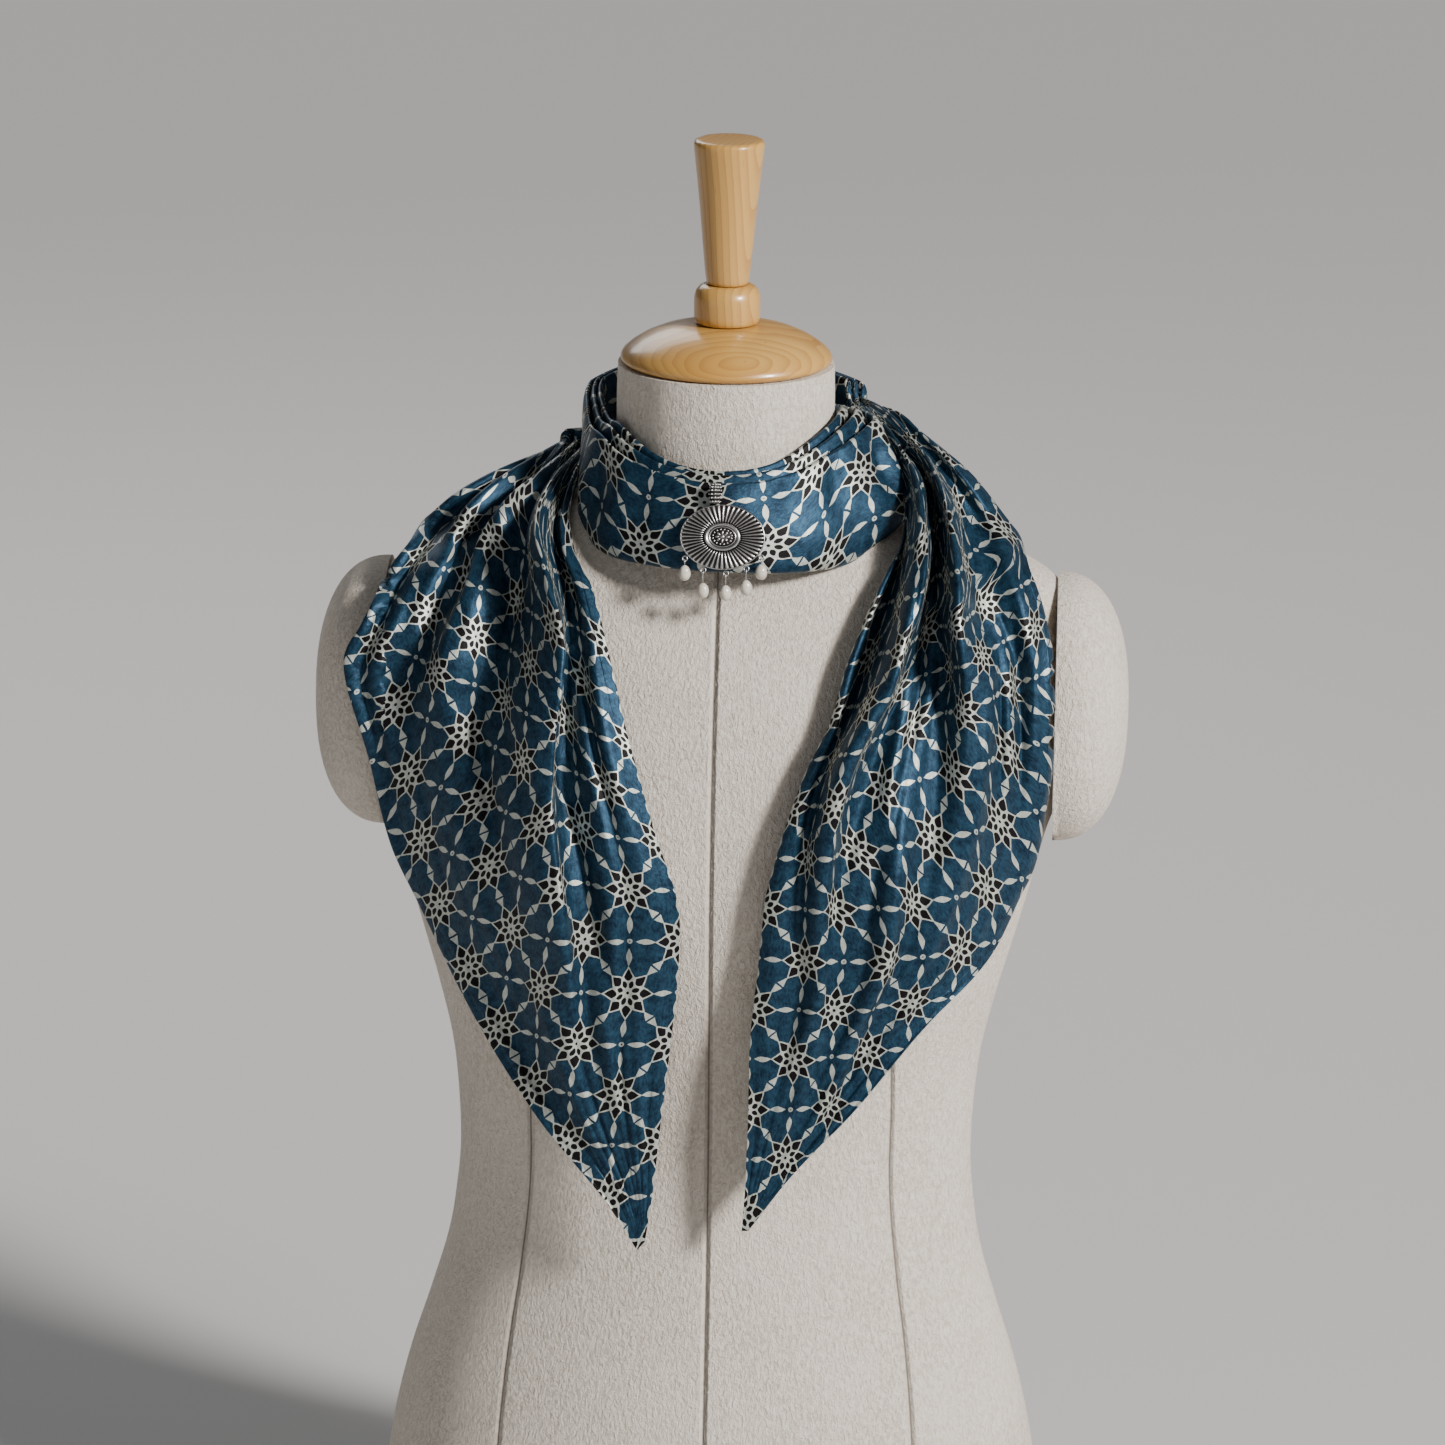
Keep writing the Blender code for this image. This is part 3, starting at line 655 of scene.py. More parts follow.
def close_holes(bm):
    """Fills every open rim with a flat face that has sharp edges."""
    rim = [edge for edge in bm.edges if edge.is_boundary]
    for face in bmesh.ops.holes_fill(bm, edges=rim, sides=0)["faces"]:
        for edge in face.edges:
            edge.smooth = False


def cut_away(bm, place, direction):
    """Cuts off what lies past a plane through a place, in one direction."""
    geometry = bm.verts[:] + bm.edges[:] + bm.faces[:]
    bmesh.ops.bisect_plane(bm, geom=geometry, plane_co=place, plane_no=direction, clear_outer=True)


def build_torso():
    bm = bmesh.new()
    bmesh.ops.create_grid(bm, x_segments=TORSO_SEGMENTS, y_segments=TORSO_RINGS, size=0.5)
    for vertex in bm.verts:
        turn = (vertex.co.x + 0.5) * 2 * math.pi
        rise = vertex.co.y + 0.5
        vertex.co = torso_point(turn, NECK_TOP * (1 - (1 - rise) ** RING_CROWDING))
    bmesh.ops.remove_doubles(bm, verts=bm.verts, dist=MERGE_DISTANCE)
    # the neck and the base are closed before the arm cuts, which graze the hips too
    close_holes(bm)
    for side in (-1, 1):
        cut_away(bm, (side * (ARM_PLANE - SEAM_GAP), 0, 0), (side, 0, 0))
    close_holes(bm)
    bmesh.ops.recalc_face_normals(bm, faces=bm.faces)
    return make_piece("torso_cover", bm, suede, ["torso"])


def build_arm_cap(name, side):
    bm = bmesh.new()
    bmesh.ops.create_uvsphere(bm, u_segments=72, v_segments=36, radius=1.0)
    bmesh.ops.rotate(bm, verts=bm.verts, matrix=Matrix.Rotation(math.pi / 2, 3, "Y"))
    cut_away(bm, (0, 0, 0), (-1, 0, 0))
    for vertex in bm.verts:
        reach = sum(abs(value) ** ARM_CAP_ROUNDNESS for value in vertex.co)
        vertex.co /= reach ** (1 / ARM_CAP_ROUNDNESS)
        vertex.co = Vector((
            side * (ARM_PLANE + max(vertex.co.x, 0.0) * ARM_CAP["out"]),
            vertex.co.y * ARM_CAP["half_depth"] + ARM_CAP["y"],
            vertex.co.z * ARM_CAP["half_height"] + ARM_CAP["z"],
        ))
    rim = [edge for edge in bm.edges if edge.is_boundary]
    bmesh.ops.edgeloop_fill(bm, edges=rim)
    for edge in rim:
        edge.smooth = False
    bmesh.ops.recalc_face_normals(bm, faces=bm.faces)
    return make_piece(f"{name}_cover", bm, suede, [name])


torso_cover = build_torso()
cap_covers = [build_arm_cap("arm_cap_left", -1), build_arm_cap("arm_cap_right", 1)]


def search_tree(pieces):
    bm = bmesh.new()
    for piece in pieces:
        bm.from_mesh(piece.data)
    tree = BVHTree.FromBMesh(bm)
    bm.free()
    return tree


form_tree = search_tree([torso_cover, *cap_covers])

# %% [markdown]
# ## The turned wood
# The cap, knob and handle were turned on a lathe, so each is a profile spun round the
# upright axis. The wood is a pale close-grained one under clear lacquer. Growth rings
# are nested tubes; where the lathe cut across them at a shallow angle they show as
# the long arches on the cap, and where it cut along them, as fine streaks.

# %% Lacquered wood
WOOD_BROWN = (0.52, 0.270, 0.060)
WOOD_GOLD = (0.61, 0.360, 0.100)
RING_BROWN = (0.36, 0.160, 0.038)
PORE_BROWN = (0.30, 0.16, 0.06)
SPECK_BROWN = (0.10, 0.05, 0.02)


def build_grain_group():
    group, given = new_group(
        "growth_rings",
        [("Place", "NodeSocketVector", None), ("Rings", "NodeSocketFloat", 260.0)],
        ["Ring", "Pores", "Drift"],
    )
    place = given["Place"]
    drift = noise_value(place, 22.0, 3.0, 0.5)
    x, y, z = axes(place)
    wavy = distance(x, z) + y * 0.18 + drift * 0.016
    ring = (wavy * given["Rings"]).then("FRACT") ** 2.2
    pores = noise_value(mapped(place, scale=(1.0, 0.12, 1.0)), 1400.0, 2.0, 0.6)
    return close_group(group, Ring=ring, Pores=pores, Drift=drift)


growth_rings = build_grain_group()


def make_wood(name, centre, turn, squeeze, rings):
    """Lacquered wood; the rings' axis is put through a centre, turned, and squeezed flat."""
    material, tree = new_material(name)
    place = object_place(tree)
    moved = mapped(place, offset=tuple(-value for value in centre))
    grain = use_group(growth_rings, mapped(moved, scale=squeeze, turn=turn), Rings=rings)
    pale = mix_colour(remap(grain["Drift"], 0.3, 0.7), WOOD_BROWN, WOOD_GOLD)
    ringed = mix_colour(grain["Ring"] * 0.62, pale, RING_BROWN)
    pored = mix_colour(remap(grain["Pores"], 0.60, 0.80, 0.0, 0.45), ringed, PORE_BROWN)
    speck = remap(noise_value(place, 210.0, 1.0, 0.5), 0.79, 0.84)
    return dress(material, {
        "Base Color": mix_colour(speck, pored, SPECK_BROWN),
        "Roughness": grain["Pores"] * 0.12 + 0.27,
        "Normal": bump(grain["Pores"], 0.0002, 0.25),
        "Coat Weight": 0.4,
        "Coat Roughness": 0.12,
    })


cap_wood = make_wood("cap_wood", (0.012, 0.0, 0.693), (0.15, 0, 0), (0.42, 1.0, 1.5), 260.0)
knob_wood = make_wood("knob_wood", (-0.022, 0.0, 0.70), (0.2, 0, 0.3), (1.0, 1.0, 0.35), 240.0)
handle_wood = make_wood("handle_wood", (-0.035, 0.01, 0.60), (0.0, 0.0, 0.5), (1.0, 1.0, 0.09), 300.0)
print("woods", [wood.name for wood in (cap_wood, knob_wood, handle_wood)])

# %% Turned pieces
# radius and z down the outer side of each turned piece (mm)
NECK_CAP_PROFILE = [
    (0.0, 707.4), (9.0, 707.4), (17.0, 707.1), (27.0, 705.6), (36.0, 703.1), (44.0, 699.6), (50.0, 695.8),
    (53.6, 692.6), (54.9, 690.3), (55.0, 689.2), (54.4, 688.0), (53.0, 687.1), (51.5, 686.8), (0.0, 686.8),
]
KNOB_PROFILE = [
    (0.0, 728.0), (10.0, 728.0), (12.2, 727.9), (14.4, 726.9), (16.2, 724.7), (17.1, 721.8), (17.25, 719.0),
    (17.25, 712.5), (17.1, 710.2), (16.6, 708.6), (15.8, 707.8), (14.8, 707.7), (0.0, 707.7),
]
HANDLE_PROFILE = [
    (0.0, 804.0), (14.0, 804.0), (16.4, 803.9), (17.6, 803.4), (18.2, 802.3), (18.3, 801.0), (18.0, 797.5),
    (16.6, 785.0), (14.8, 768.0), (13.2, 750.0), (11.9, 736.0), (11.2, 730.2), (10.8, 728.8),
    (10.2, 728.3), (0.0, 728.3),
]
TURNING_STEPS = 96


def build_turned(name, profile, material):
    bm = bmesh.new()
    points = [bm.verts.new((mm(radius), 0, mm(z))) for radius, z in profile]
    edges = [bm.edges.new(pair) for pair in zip(points, points[1:])]
    bmesh.ops.spin(
        bm, geom=points + edges, cent=(0, 0, 0), axis=(0, 0, 1), angle=2 * math.pi,
        steps=TURNING_STEPS, use_merge=True,
    )
    bmesh.ops.remove_doubles(bm, verts=bm.verts, dist=MERGE_DISTANCE)
    bmesh.ops.recalc_face_normals(bm, faces=bm.faces)
    make_piece(f"{name}_turned", bm, material, [name])


build_turned("neck_cap", NECK_CAP_PROFILE, cap_wood)
build_turned("knob", KNOB_PROFILE, knob_wood)
build_turned("handle", HANDLE_PROFILE, handle_wood)

# %% [markdown]
# ## The scarf
# A cloth simulation could find folds of its own, but these folds have to be the ones in
# the picture, so they are modelled. Each stretch is a grid, and a function of two
# shares says where each of its points goes: u across the strip and v along it. The
# cloth's own coordinates are worked out from the folded shape, before it is crumpled,
# by adding up distances along every row. Where a row of a tail is shorter than the
# strip is wide, the cloth that it lacks is laid into the steep sides of its folds.

# %% Cloth helpers
CLOTH_WALL = 0.0010
FLAT_WIDTH = 260.0
SEARCH_REACH = 0.05
TINY = 1e-9


def arc_lengths(points):
    """Distance along each row of points from its first one, and each row's whole length."""
    steps = np.linalg.norm(np.diff(points, axis=1), axis=2)
    run = np.concatenate([np.zeros((len(points), 1)), np.cumsum(steps, axis=1)], axis=1)
    return run, run[:, -1:]


def refine(grid, count, axis):
    """Smooth curve through a coarse grid's points, read at evenly spaced places."""
    last = grid.shape[axis] - 1
    places = np.linspace(0, last, count)
    index = np.minimum(places.astype(int), last - 1)
    shape = [1] * grid.ndim
    shape[axis] = count
    t = (places - index).reshape(shape)
    taken = [np.take(grid, np.clip(index + offset, 0, last), axis=axis) for offset in (-1, 0, 1, 2)]
    return 0.5 * (
        2 * taken[1] + (taken[2] - taken[0]) * t
        + (2 * taken[0] - 5 * taken[1] + 4 * taken[2] - taken[3]) * t * t
        + (3 * taken[1] - taken[0] - 3 * taken[2] + taken[3]) * t * t * t
    )


def soften(grid, passes):
    """Averages a grid with its neighbours, its border kept."""
    for _ in range(passes):
        inner = grid[1:-1, 1:-1]
        around = grid[:-2, 1:-1] + grid[2:, 1:-1] + grid[1:-1, :-2] + grid[1:-1, 2:]
        grid[1:-1, 1:-1] = 0.5 * inner + 0.125 * around
    return grid


def keep_clear(points, room):
    """Moves points out along the form's surface until they stand clear of it."""
    flat = points.reshape(-1, 3)
    for index, point in enumerate(flat):
        place, normal, _, _ = form_tree.find_nearest(Vector(point), SEARCH_REACH)
        if place is None:
            continue
        short = room - (Vector(point) - place).dot(normal)
        if short > 0:
            flat[index] = np.array(Vector(point) + normal * short)
    return flat.reshape(points.shape)


def crumple(points, cloth, seed, size):
    """Small soft wrinkles, longer along the cloth than across it."""
    normal = np.cross(np.gradient(points, axis=1), np.gradient(points, axis=0))
    normal /= np.maximum(np.linalg.norm(normal, axis=2, keepdims=True), TINY)
    lift = np.zeros(points.shape[:2])
    for place in np.ndindex(lift.shape):
        u, v = cloth[place]
        broad = noise.noise(Vector((u * 0.030, v * 0.013, seed)))
        fine = noise.noise(Vector((u * 0.085, v * 0.040, seed + 9.0)))
        lift[place] = broad + fine * 0.32
    return points + normal * (lift * mm(size))[:, :, None]


def build_cloth(node, points, cloth, edge, flat):
    """Cloth piece for a node, from a grid of points with its cloth coordinates in mm."""
    rows, columns = points.shape[0] - 1, points.shape[1] - 1
    bm = bmesh.new()
    bmesh.ops.create_grid(bm, x_segments=columns, y_segments=rows, size=0.5)
    bm.verts.ensure_lookup_table()
    places = [
        (round((vertex.co.y + 0.5) * rows), round((vertex.co.x + 0.5) * columns)) for vertex in bm.verts
    ]
    for vertex, place in zip(bm.verts, places):
        vertex.co = points[place]
    bmesh.ops.recalc_face_normals(bm, faces=bm.faces)
    piece = make_piece(f"{node}_cloth", bm, printed_satin, [node])
    row_index, column_index = np.array(places).T
    values = np.zeros((len(places), 3))
    values[:, :2] = cloth[row_index, column_index]
    set_attribute(piece, "cloth_mm", "FLOAT_VECTOR", values)
    set_attribute(piece, "edge_mm", "FLOAT", edge[row_index, column_index])
    wall = piece.modifiers.new("wall", "SOLIDIFY")
    wall.thickness = CLOTH_WALL
    wall.offset = 0.0


# %% [markdown]
# ## The wound stretches
# Folded lengthwise, the strip's section is a tall inner layer, two rolled folds beside
# it and a broad outer layer that turns under at its foot. Sections round the neck say how
# wide and how high it stands; at the right the outer layer flares to a free corner.

# %% Strip tables
# out from the neck and up its height, 0 to 1
STRIP_FOLDS = [
    (0.00, 0.02), (0.00, 0.48), (0.00, 0.90), (0.09, 1.00), (0.18, 0.90), (0.19, 0.60), (0.26, 0.50),
    (0.34, 0.60), (0.35, 0.90), (0.45, 0.985), (0.55, 0.88), (0.56, 0.66), (0.64, 0.56), (0.72, 0.66),
    (0.74, 0.86), (0.84, 0.93), (0.95, 0.80), (1.00, 0.52), (1.00, 0.26), (0.96, 0.05), (0.83, -0.02),
    (0.72, 0.08),
]
# angle from the front (degrees, + to the viewer's right), inner and outer
# radius at the top, outer radius at the bottom, top and bottom z (mm)
BAND_SECTIONS = [
    (-118, 74.0, 83.0, 83.0, 668, 642),
    (-95, 64.0, 74.5, 75.0, 662, 637),
    (-77, 60.0, 73.0, 77.5, 658, 612),
    (-61, 60.0, 74.5, 83.0, 659, 604),
    (-46, 60.0, 75.5, 87.0, 653, 599),
    (-25, 60.0, 76.0, 89.5, 646, 598),
    (0, 60.0, 77.0, 92.6, 643, 598),
    (25, 60.0, 78.0, 92.5, 646, 596),
    (50, 60.0, 79.5, 91.5, 656, 596),
    (61, 60.0, 80.0, 93.5, 660, 601),
    (72, 60.0, 81.0, 98.5, 663, 608),
    (80, 60.0, 82.0, 102.0, 665, 615),
    (86, 60.0, 77.0, 91.0, 665, 623),
    (92, 59.8, 73.0, 78.0, 664, 628),
    (100, 59.5, 71.5, 73.0, 661, 630),
]
NAPE_OUTER_SECTIONS = [
    BAND_SECTIONS[0],
    (-145, 74.0, 85.0, 86.0, 672, 643),
    (-180, 74.0, 87.0, 89.0, 672, 640),
    (-215, 74.5, 87.0, 89.0, 670, 638),
    (-235, 75.0, 87.0, 89.0, 668, 636),
]
NAPE_INNER_SECTIONS = [
    BAND_SECTIONS[-1],
    (140, 59.5, 70.0, 71.0, 655, 628),
    (180, 59.5, 70.5, 72.0, 649, 624),
    (210, 60.5, 72.0, 74.0, 642, 623),
    (230, 68.0, 84.0, 86.0, 639, 623),
    (245, 78.0, 97.0, 98.0, 640, 624),
]
# hollows and swellings of the band's outer layer: angle, height share, depth (mm)
# towards the neck, half width (degrees) and half height of each
BAND_HOLLOWS = [
    (74, 0.62, 6.5, 6, 0.26), (64, 0.30, -2.5, 8, 0.18), (47, 0.72, 3.0, 6, 0.22),
    (30, 0.35, -2.0, 12, 0.2), (20, 0.80, 2.0, 9, 0.16), (-30, 0.45, 2.0, 7, 0.4),
    (-52, 0.55, 3.5, 6, 0.3), (-66, 0.35, -2.0, 7, 0.25),
]
OUTER_LAYER = 0.72
OUTER_LAYER_BLUR = 0.04
STRIP_COLUMNS = 150
CLOTH_CLEAR = 0.0022
CREASE_ROOM = 0.0004
CREASE_SIZE = 0.7
# a ray that starts here meets the form's shoulders from above
OVER_SHOULDERS = 0.66

fold_line = refine(np.array(STRIP_FOLDS, float), STRIP_COLUMNS + 1, 0)


def form_top(x, y):
    """Height of the form's upper surface at x and y, outside the neck."""
    hit = form_tree.ray_cast(Vector((x, y, OVER_SHOULDERS)), Vector((0, 0, -1)))[0]
    return hit.z if hit else 0.0


def strip_row(sections, angle, crush=0.0):
    """One section of the folded strip, wound round the neck. Crushed, its folds flatten."""
    share = np.linspace(0, 1, len(fold_line))
    out = fold_line[:, 0] + (share - fold_line[:, 0]) * crush
    up = fold_line[:, 1] + (0.5 - fold_line[:, 1]) * crush
    inner, outer_top, outer_bottom, top, bottom = (
        mm(table_value(sections, angle, column)) for column in range(1, 6)
    )
    outer = outer_bottom + (outer_top - outer_bottom) * np.maximum(up, 0.0)
    radius = inner + (outer - inner) * out
    if sections is BAND_SECTIONS:
        outermost = smooth_step(OUTER_LAYER - OUTER_LAYER_BLUR, OUTER_LAYER + OUTER_LAYER_BLUR, share)
        for centre, rise, depth, half_angle, half_rise in BAND_HOLLOWS:
            reach = ((angle - centre) / half_angle) ** 2 + ((up - rise) / half_rise) ** 2
            radius = radius - mm(depth) * outermost * np.exp(-reach)
    turn = math.radians(angle)
    height = bottom + (top - bottom) * up
    points = np.stack([radius * math.sin(turn), -radius * math.cos(turn), height], axis=1)
    for point in points:
        point[2] = max(point[2], form_top(point[0], point[1]) + CLOTH_CLEAR)
    return points


# %% Band and nape
# node, sections, rows, where its cloth coordinates start (mm)
STRIPS = [
    ("neck_band", BAND_SECTIONS, 230, (12.0, 20.0)),
    ("nape_outer", NAPE_OUTER_SECTIONS, 110, (12.0, 0.0)),
    ("nape_inner", NAPE_INNER_SECTIONS, 110, (12.0, 10.0)),
]


def build_strip(node, sections, rows, start):
    first, last = sections[0][0], sections[-1][0]
    trim = math.degrees(SEAM_GAP / mm(sections[0][1])) * (1 if last > first else -1)
    points = np.array([
        strip_row(sections, angle) for angle in np.linspace(first + trim, last - trim, rows + 1)
    ])
    run, whole = arc_lengths(points)
    lengths, _ = arc_lengths(points.transpose(1, 0, 2))
    along = lengths.mean(axis=0) * 1000
    down = np.broadcast_to(along[:, None] + start[1], run.shape)
    cloth = np.stack([run * 1000 + start[0], down], axis=2)
    points = crumple(points, cloth, 3.0 + start[1], CREASE_SIZE)
    points = keep_clear(points, CLOTH_CLEAR - CREASE_ROOM)
    edge = np.minimum(run, whole - run) * 1000
    width = float(whole.mean())
    length = float(along[-1] * 0.001)
    print(node, "is", round(width, 3), "m round its folds and", round(length, 3), "m long")
    build_cloth(node, points, cloth, edge, (width, length))


for strip in STRIPS:
    build_strip(*strip)

# %% [markdown]
# ## The tails
# Each tail starts as a plain drape: every point falls from the foremost place above it
# on the form. Over that lie the folds. A fold has its place across the cloth, its height
# and its two slopes at several lengths from the nape, so it can wander, sharpen and
# fade. A lean pushes its crest sideways until it hangs over its steep side, which is
# what gives hanging satin its dark undercut lines.

# %% Tail tables
# length along the cloth from the nape, then x and z of the inner and of the
# outer edge, and the hindmost y that the inner and the outer edge may take (mm)
LEFT_TAIL_EDGES = [
    (0, -72, 618, -88, 634, 33, 39), (25, -78, 614, -99, 630, 12, 26), (40, -80, 608, -112, 624, -8, 16),
    (60, -76, 598, -128, 615, -40, 10), (80, -63, 583, -144, 603, -60, 9),
    (120, -53, 551, -168, 582, -60, 9), (160, -43.5, 516, -183, 554.5, -60, 9),
    (185, -37, 495, -192, 534, -60, 9), (220, -27.5, 464, -180, 488, -60, 0),
    (260, -15.5, 427.5, -167, 434.5, -60, 0), (300, -15.5, 387.5, -143, 388, -60, 0),
    (340, -19.5, 347.5, -117.5, 346, -60, 0), (380, -24, 308, -87.5, 304.5, -60, 0),
    (420, -28, 267.5, -53, 264.5, -60, 0), (443, -31.5, 242, -35.5, 237, -60, 0),
]
RIGHT_TAIL_EDGES = [
    (0, 62, 640, 73, 667, 43, 50), (40, 71.5, 645, 79, 660, 26, 38), (70, 81, 636, 92, 652, 8, 24),
    (110, 93, 621, 114, 639, -16, 12), (130, 94, 605, 126, 630, -36, 10),
    (150, 84, 588, 138, 616.5, -55, 8), (190, 69, 554.5, 159, 587, -60, 8),
    (230, 59, 521, 169.5, 559, -60, 0), (255, 49, 501, 173, 538, -60, 0),
    (290, 38, 470.5, 173.5, 491, -60, 0), (320, 30.9, 443.1, 168.5, 450, -60, 0),
    (330, 28.5, 434, 166.5, 436.5, -60, 0), (340, 27.8, 424.1, 161, 424.7, -60, 0),
    (370, 25.5, 394.5, 144.5, 391, -60, 0), (410, 22, 355, 110, 357, -60, 0),
    (450, 21.5, 315, 77, 317, -60, 0), (490, 20.5, 275, 41, 277, -60, 0), (513, 19, 250, 22.5, 250, -60, 0),
]
LEFT_CORNER = 185.0
RIGHT_CORNER = 255.0

# Each fold: length along, place across (0 inner edge, 1 outer edge), height
# (mm), half width towards the inner and the outer edge, lean to the outer edge
LEFT_FOLDS = [
    [(0, 0.08, 2, 0.06, 0.08, 0.0), (80, 0.05, 6, 0.05, 0.07, 0.0), (160, 0.06, 9, 0.06, 0.07, 0.1),
     (240, 0.08, 8, 0.07, 0.09, 0.1), (340, 0.14, 4, 0.10, 0.12, 0.0), (443, 0.2, 0, 0.1, 0.1, 0.0)],
    [(0, 0.26, 4, 0.07, 0.10, 0.0), (40, 0.24, 15, 0.05, 0.10, -0.3), (80, 0.255, 24, 0.05, 0.11, -0.4),
     (120, 0.275, 28, 0.055, 0.12, -0.4), (160, 0.325, 27, 0.055, 0.12, -0.4),
     (185, 0.345, 25, 0.055, 0.12, -0.4), (220, 0.40, 22, 0.06, 0.12, -0.4),
     (260, 0.436, 17, 0.06, 0.12, -0.4), (300, 0.477, 12, 0.07, 0.13, -0.4),
     (340, 0.557, 7, 0.08, 0.14, -0.2), (400, 0.62, 0, 0.1, 0.1, 0.0)],
    [(0, 0.42, 3, 0.06, 0.08, 0.0), (45, 0.42, 12, 0.07, 0.06, 0.2), (80, 0.57, 16, 0.11, 0.07, 0.3),
     (120, 0.61, 16, 0.12, 0.07, 0.3), (160, 0.665, 14, 0.11, 0.08, 0.2),
     (200, 0.69, 10, 0.10, 0.09, 0.1), (260, 0.71, 5, 0.10, 0.11, 0.0), (330, 0.74, 0, 0.1, 0.1, 0.0)],
    [(0, 0.75, 2, 0.08, 0.08, 0.0), (40, 0.78, 6, 0.07, 0.07, 0.0), (80, 0.82, 10, 0.07, 0.07, 0.0),
     (120, 0.86, 11, 0.07, 0.06, 0.0), (160, 0.89, 9, 0.07, 0.06, 0.0), (220, 0.90, 5, 0.08, 0.07, 0.0),
     (300, 0.90, 0, 0.08, 0.07, 0.0)],
    [(0, 0.97, 2, 0.05, 0.05, 0.0), (60, 0.985, 5, 0.04, 0.05, 0.1), (120, 0.985, 6, 0.035, 0.05, 0.1),
     (185, 0.98, 6, 0.035, 0.05, 0.1), (260, 0.97, 4, 0.05, 0.05, 0.0), (360, 0.96, 0, 0.06, 0.05, 0.0)],
    [(120, 0.12, 0, 0.05, 0.05, 0.0), (190, 0.16, 5, 0.05, 0.05, 0.0), (260, 0.22, 7, 0.05, 0.05, -0.2),
     (330, 0.30, 5, 0.05, 0.06, -0.1), (400, 0.35, 0, 0.06, 0.06, 0.0)],
]
RIGHT_FOLDS = [
    [(0, 0.10, 2, 0.08, 0.10, 0.0), (110, 0.02, 3, 0.08, 0.08, 0.0), (190, 0.02, 5, 0.05, 0.05, 0.0),
     (250, 0.03, 6, 0.05, 0.05, 0.1), (370, 0.06, 4, 0.08, 0.09, 0.0), (470, 0.12, 0, 0.1, 0.1, 0.0)],
    [(0, 0.28, 4, 0.14, 0.12, 0.0), (40, 0.27, 10, 0.16, 0.11, 0.0), (70, 0.26, 14, 0.16, 0.10, 0.0),
     (110, 0.27, 20, 0.16, 0.13, 0.05), (130, 0.26, 24, 0.15, 0.12, 0.05),
     (150, 0.31, 28, 0.13, 0.12, 0.08), (190, 0.265, 30, 0.105, 0.095, 0.08),
     (230, 0.19, 27, 0.09, 0.08, 0.08), (255, 0.155, 23, 0.08, 0.07, 0.08),
     (290, 0.155, 17, 0.065, 0.055, 0.1), (330, 0.195, 13, 0.055, 0.045, 0.1),
     (370, 0.26, 9, 0.055, 0.04, 0.1), (410, 0.36, 5, 0.08, 0.05, 0.0), (470, 0.5, 0, 0.1, 0.1, 0.0)],
    [(0, 0.62, 4, 0.10, 0.12, 0.0), (40, 0.60, 9, 0.10, 0.12, 0.0), (70, 0.60, 13, 0.10, 0.12, 0.0),
     (110, 0.60, 19, 0.09, 0.11, 0.0), (150, 0.61, 26, 0.08, 0.085, 0.0),
     (190, 0.585, 28, 0.075, 0.085, -0.05), (230, 0.645, 23, 0.085, 0.10, -0.05),
     (255, 0.67, 18, 0.09, 0.10, 0.0), (290, 0.70, 13, 0.09, 0.10, 0.0), (350, 0.74, 7, 0.11, 0.11, 0.0),
     (430, 0.76, 0, 0.1, 0.1, 0.0)],
    [(0, 0.92, 3, 0.09, 0.09, 0.0), (70, 0.92, 6, 0.09, 0.09, 0.0), (110, 0.93, 7, 0.08, 0.09, 0.0),
     (150, 0.92, 8, 0.08, 0.09, 0.0), (190, 0.90, 10, 0.08, 0.09, 0.0), (230, 0.91, 11, 0.07, 0.08, 0.0),
     (255, 0.93, 9, 0.07, 0.07, 0.1), (290, 0.95, 7, 0.07, 0.06, 0.1), (370, 0.95, 0, 0.07, 0.06, 0.0)],
    [(220, 0.38, 0, 0.05, 0.05, 0.0), (270, 0.40, 6, 0.05, 0.05, 0.0), (320, 0.45, 9, 0.045, 0.06, 0.0),
     (370, 0.52, 8, 0.05, 0.06, 0.2), (430, 0.64, 5, 0.06, 0.06, 0.1), (490, 0.7, 0, 0.1, 0.1, 0.0)],
    [(200, 0.76, 0, 0.04, 0.04, 0.0), (240, 0.795, 7, 0.04, 0.04, 0.0), (290, 0.84, 7, 0.04, 0.045, 0.0),
     (340, 0.87, 5, 0.05, 0.05, 0.0), (400, 0.88, 0, 0.05, 0.05, 0.0)],
]
# length along, height (mm) of the even pleats where the cloth is gathered
LEFT_PLEATS = [(0, 2.5), (25, 3.0), (50, 2.4), (80, 1.5), (120, 0.8), (170, 0.3), (240, 0.0)]
RIGHT_PLEATS = [(0, 2.0), (40, 2.4), (80, 2.0), (120, 1.2), (160, 0.6), (210, 0.2), (280, 0.0)]
PLEATS = 7
# length along, height (mm) of the wandering folds between the others
LEFT_WANDER = [(0, 0.3), (40, 1.0), (90, 2.0), (200, 3.0), (300, 2.4), (400, 1.2), (443, 0.3)]
RIGHT_WANDER = [(0, 0.3), (40, 1.0), (110, 1.8), (250, 3.0), (350, 2.6), (450, 1.4), (513, 0.3)]
WANDER_ACROSS = 0.060
WANDER_ALONG = 0.0075
# share of the cloth's width that a row's folds take up, and how far they may be deepened
FULLNESS = 0.92
MOST_DEEPENING = 1.2
# how much more cloth than is seen may lie in the steep sides of the folds
MOST_HIDDEN = 1.5
# a row's declared cut is at most its own width over this share, so what a maker would
# gather out of sight in the roots isn't counted
LEAST_SHOWN = 0.80

